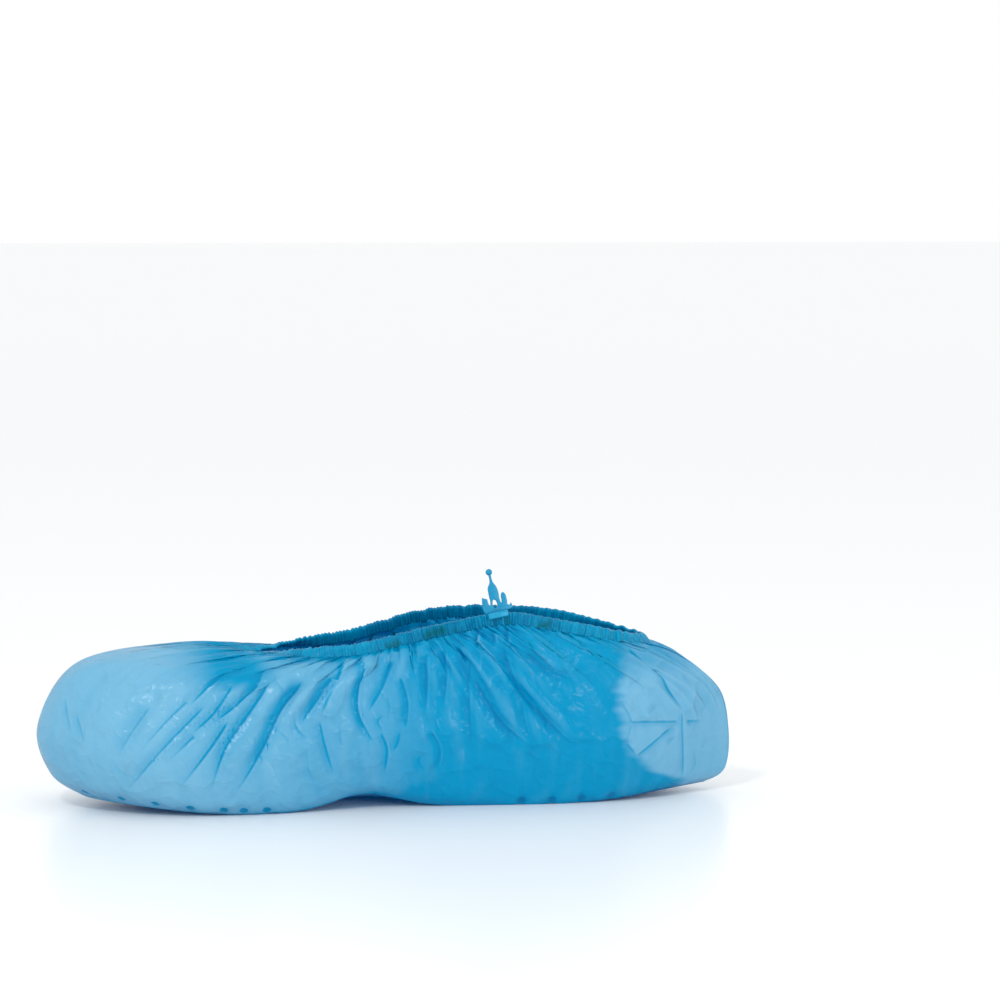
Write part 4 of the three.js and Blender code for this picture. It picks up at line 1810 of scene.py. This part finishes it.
@dataclass
class DispenserClip:
    """The small comb-shaped clip by which a dispenser holds the cover's mouth open.

    Attributes:
        form: The smooth bag.
        x: Where it grips the hem.
        stand: Height of its foot over the mouth's line.
        inset: How far its plate's middle lies in from the film's outer face.
        thick: Thickness of the plate.
        bevel: Rounding of its edges.
        lean: How far it leans towards the toe, in degrees.
        window: Middle, half-width, foot, top and corner of the window in its stem.
        ball: Radius of the ball on its pin, and height of the ball's middle.
    """

    form: BagForm
    x: float = -52.0
    stand: float = 6.6
    inset: float = 0.6
    thick: float = 1.8
    bevel: float = 0.3
    lean: float = 6.0
    window: tuple[float, ...] = (-0.5, 0.85, 1.9, 6.2, 0.5)
    ball: tuple[float, float] = (1.7, 20.6)

    def placement(self) -> Matrix:
        """Where the clip stands.

        Returns:
            Matrix from the clip's own frame, X across, Y up and Z out, to the cover's.
        """
        ring = self.form.rings[0]
        share = (ring.front - self.x) / (ring.front - ring.back)
        angle = np.array([math.acos(1.0 - 2.0 * share)])
        up, out = (vector[0] for vector in self.form.hem_lean(angle))
        foot = self.form.surface(angle, np.zeros(1))[0, 0] - self.inset * out
        origin = foot + self.stand * up
        across, lean = np.cross(up, out), math.radians(self.lean)
        cosine, sine = math.cos(lean), math.sin(lean)
        up, across = up * cosine - across * sine, across * cosine + up * sine
        rows = [[across[i], up[i], out[i], origin[i]] for i in range(3)]
        return Matrix(rows + [[0.0, 0.0, 0.0, 1.0]])

    def outline(self) -> list[tuple[float, float, str]]:
        """Outline of the plate: lug, right prong, stem, left prong and foot.

        Returns:
            Across, up, and the handle type of each point.
        """
        return [
            (6.2, 0.0, "AUTO"), (7.9, 0.7, "AUTO"), (7.7, 3.2, "VECTOR"), (6.3, 2.2, "AUTO"),
            (6.0, 5.0, "AUTO"), (5.6, 8.2, "AUTO"), (4.6, 9.2, "AUTO"), (3.6, 8.2, "AUTO"),
            (3.3, 5.2, "AUTO"), (2.9, 4.2, "AUTO"), (2.5, 5.2, "AUTO"), (2.5, 10.2, "AUTO"),
            (1.9, 13.0, "AUTO"), (0.8, 15.4, "AUTO"), (0.6, 20.0, "VECTOR"), (-0.6, 20.0, "VECTOR"),
            (-0.8, 15.4, "AUTO"), (-2.3, 12.8, "AUTO"), (-2.6, 9.8, "AUTO"), (-2.7, 4.6, "AUTO"),
            (-3.2, 3.6, "AUTO"), (-3.7, 4.6, "AUTO"), (-3.9, 7.2, "VECTOR"), (-6.4, 8.4, "VECTOR"),
            (-7.0, 4.4, "AUTO"), (-7.0, 1.2, "AUTO"), (-6.2, 0.0, "AUTO"),
        ]

    def plate(self) -> bpy.types.Mesh:
        """Makes the extruded plate.

        Returns:
            Its mesh, with the window and rounded edges.
        """
        data = bpy.data.curves.new("plate", "CURVE")
        data.dimensions = "2D"
        data.fill_mode = "BOTH"
        data.resolution_u = 5
        data.extrude = self.thick / 2 - self.bevel
        data.bevel_depth = self.bevel
        data.bevel_resolution = 2
        data.offset = -self.bevel
        middle, half, low, high, cut = self.window
        window = [
            (middle - half, low + cut, "AUTO"), (middle - half, high - cut, "AUTO"),
            (middle - half + cut, high, "AUTO"), (middle + half - cut, high, "AUTO"),
            (middle + half, high - cut, "AUTO"), (middle + half, low + cut, "AUTO"),
            (middle + half - cut, low, "AUTO"), (middle - half + cut, low, "AUTO"),
        ]
        for loop in (self.outline(), window):
            spline_data = data.splines.new("BEZIER")
            spline_data.use_cyclic_u = True
            spline_data.bezier_points.add(len(loop) - 1)
            for point, (across, up, handle) in zip(spline_data.bezier_points, loop):
                point.co = (across, up, 0.0)
                point.handle_left_type = point.handle_right_type = handle
        shape = linked("plate", data)
        mesh = bpy.data.meshes.new_from_object(shape)
        bpy.data.objects.remove(shape)
        return mesh

    @staticmethod
    def block(
        form: bmesh.types.BMesh, low: Sequence[float], high: Sequence[float], bevel: float
    ) -> None:
        """Adds a box with rounded edges.

        Args:
            form: The bmesh that it is added to.
            low: One corner.
            high: The opposite corner.
            bevel: Rounding of its edges.
        """
        made = bmesh.ops.create_cube(form, size=1.0)["verts"]
        for vertex in made:
            for axis in range(3):
                middle = (low[axis] + high[axis]) / 2
                vertex.co[axis] = middle + vertex.co[axis] * (high[axis] - low[axis])
        edges = list({edge for vertex in made for edge in vertex.link_edges})
        bmesh.ops.bevel(form, geom=edges, offset=bevel, segments=3, profile=0.5, affect="EDGES")

    def place(self, form: bmesh.types.BMesh, name: str) -> bpy.types.Object:
        """Stands a shape on the hem and makes it a piece.

        Args:
            form: The shape in the clip's own frame, which is used up.
            name: Name of the piece.

        Returns:
            The piece.
        """
        bmesh.ops.remove_doubles(form, verts=form.verts, dist=1e-3)
        bmesh.ops.recalc_face_normals(form, faces=form.faces)
        stand = Matrix.Scale(METRES, 4) @ self.placement()
        bmesh.ops.transform(form, matrix=stand, verts=form.verts)
        mesh = bpy.data.meshes.new(name)
        form.to_mesh(mesh)
        form.free()
        mesh.polygons.foreach_set("use_smooth", np.ones(len(mesh.polygons), dtype=bool))
        mesh.set_sharp_from_angle(angle=math.radians(40.0))
        return linked(name, mesh)

    def build(self) -> bpy.types.Object:
        """Makes the plate, its ball, and the cheek behind the hem, and enrols them.

        Returns:
            The piece.
        """
        radius, middle = self.ball
        form = bmesh.new()
        form.from_mesh(self.plate())
        ball = bmesh.ops.create_uvsphere(form, u_segments=24, v_segments=16, radius=radius)
        bmesh.ops.translate(form, vec=(0.0, middle, 0.0), verts=ball["verts"])
        self.block(form, (-5.8, 0.1, -3.6), (5.8, 1.2, 0.2), 0.3)
        self.block(form, (-5.8, -3.3, -3.6), (5.8, 1.2, -2.7), 0.3)
        piece = self.place(form, "clip_comb")
        finish = PlainFinish("clip", (0.0, 0.270, 0.500), 0.30, 5e-5)
        enrol(piece, "clip_body", finish.build())
        return piece

    def build_bar(self) -> bpy.types.Object:
        """Makes the clamp bar in front of the hem, and enrols it.

        Returns:
            The piece.
        """
        form = bmesh.new()
        self.block(form, (-5.6, -3.3, 2.6), (4.8, -0.3, 4.0), 0.55)
        piece = self.place(form, "clip_bar")
        finish = PlainFinish("clip_bar", (0.0, 0.310, 0.550), 0.28, 5e-5)
        enrol(piece, "clip_clamp_bar", finish.build())
        return piece


# ------------------------------------------------------------------ studio


@dataclass
class Studio:
    """Camera, floor and soft light.

    Attributes:
        azimuth: Camera's turn about Z, in degrees.
        elevation: Camera's tilt, in degrees.
        distance: Distance from camera to target.
        lens: Focal length.
        target: Point in the middle of the view.
    """

    azimuth: float = 171.1
    elevation: float = 4.47
    distance: float = 1949.5
    lens: float = 135.0
    target: tuple[float, float, float] = (-58.8, 0.0, 154.3)

    def build(self) -> None:
        """Makes the camera, the floor and the lights."""
        self.build_camera()
        self.build_floor()
        self.lamp("key", 9.5, 0.22, (0.7, 1.2, 1.3))
        self.lamp("fill", 5.0, 0.3, (-0.9, 1.8, 0.5))
        world = bpy.data.worlds.new("room")
        bpy.context.scene.world = world
        world.use_nodes = True
        sky = world.node_tree.nodes["Background"]
        sky.inputs["Color"].default_value = (1.0, 1.0, 1.0, 1.0)
        sky.inputs["Strength"].default_value = 1.0
        bpy.context.scene.view_settings.view_transform = "Standard"

    def build_camera(self) -> None:
        """Makes the camera and sets it."""
        turn, tilt = math.radians(self.azimuth), math.radians(self.elevation)
        level = math.cos(tilt)
        back = np.array([math.sin(turn) * level, -math.cos(turn) * level, math.sin(tilt)])
        data = bpy.data.cameras.new("view")
        data.lens = self.lens
        camera = linked("view", data)
        camera.location = ((np.array(self.target) + back * self.distance) * METRES).tolist()
        camera.rotation_euler = (math.pi / 2 - tilt, 0.0, turn)
        bpy.context.scene.camera = camera

    def build_floor(self) -> None:
        """Makes a wide pale floor."""
        bpy.ops.mesh.primitive_plane_add(size=60.0)
        floor = bpy.context.object
        floor.name = "floor"
        graph = Graph("floor")
        pale = graph.principled(Base_Color=(0.90, 0.92, 0.93, 1.0), Roughness=0.28)
        floor.data.materials.append(graph.surface(pale))

    def lamp(self, name: str, energy: float, size: float, place: Sequence[float]) -> None:
        """Makes a square soft light that faces the cover.

        Args:
            name: Name of the light.
            energy: Its power, in watts.
            size: Length of its side, in metres.
            place: Where it stands, in metres.
        """
        data = bpy.data.lights.new(name, "AREA")
        data.energy = energy
        data.size = size
        lamp = linked(name, data)
        lamp.location = place
        lamp.rotation_euler = Vector(place).to_track_quat("Z", "Y").to_euler()


def main() -> None:
    """Builds each sub-assembly in order and reports its pieces."""
    Studio().build()
    form = BagForm()
    folds = clip_side_folds() + other_side_folds()
    crumples = crumple_creases(default_crumples(), CRUMPLE_SEED)
    creases = clip_side_creases() + other_side_creases() + crumples
    film = FilmSolver(form).solve(folds, creases, default_gathers())
    bag = FilmBag(film).build()
    opening = OpeningHem(form, film)
    hem = opening.build()
    elastic = opening.build_elastic()
    clip = DispenserClip(form)
    comb, bar = clip.build(), clip.build_bar()
    for piece in (bag, hem, elastic, comb, bar):
        LOG.info("%s: %d points", piece.name, len(piece.data.vertices))


if __name__ == "__main__":
    logging.basicConfig(level=logging.INFO)
    main()
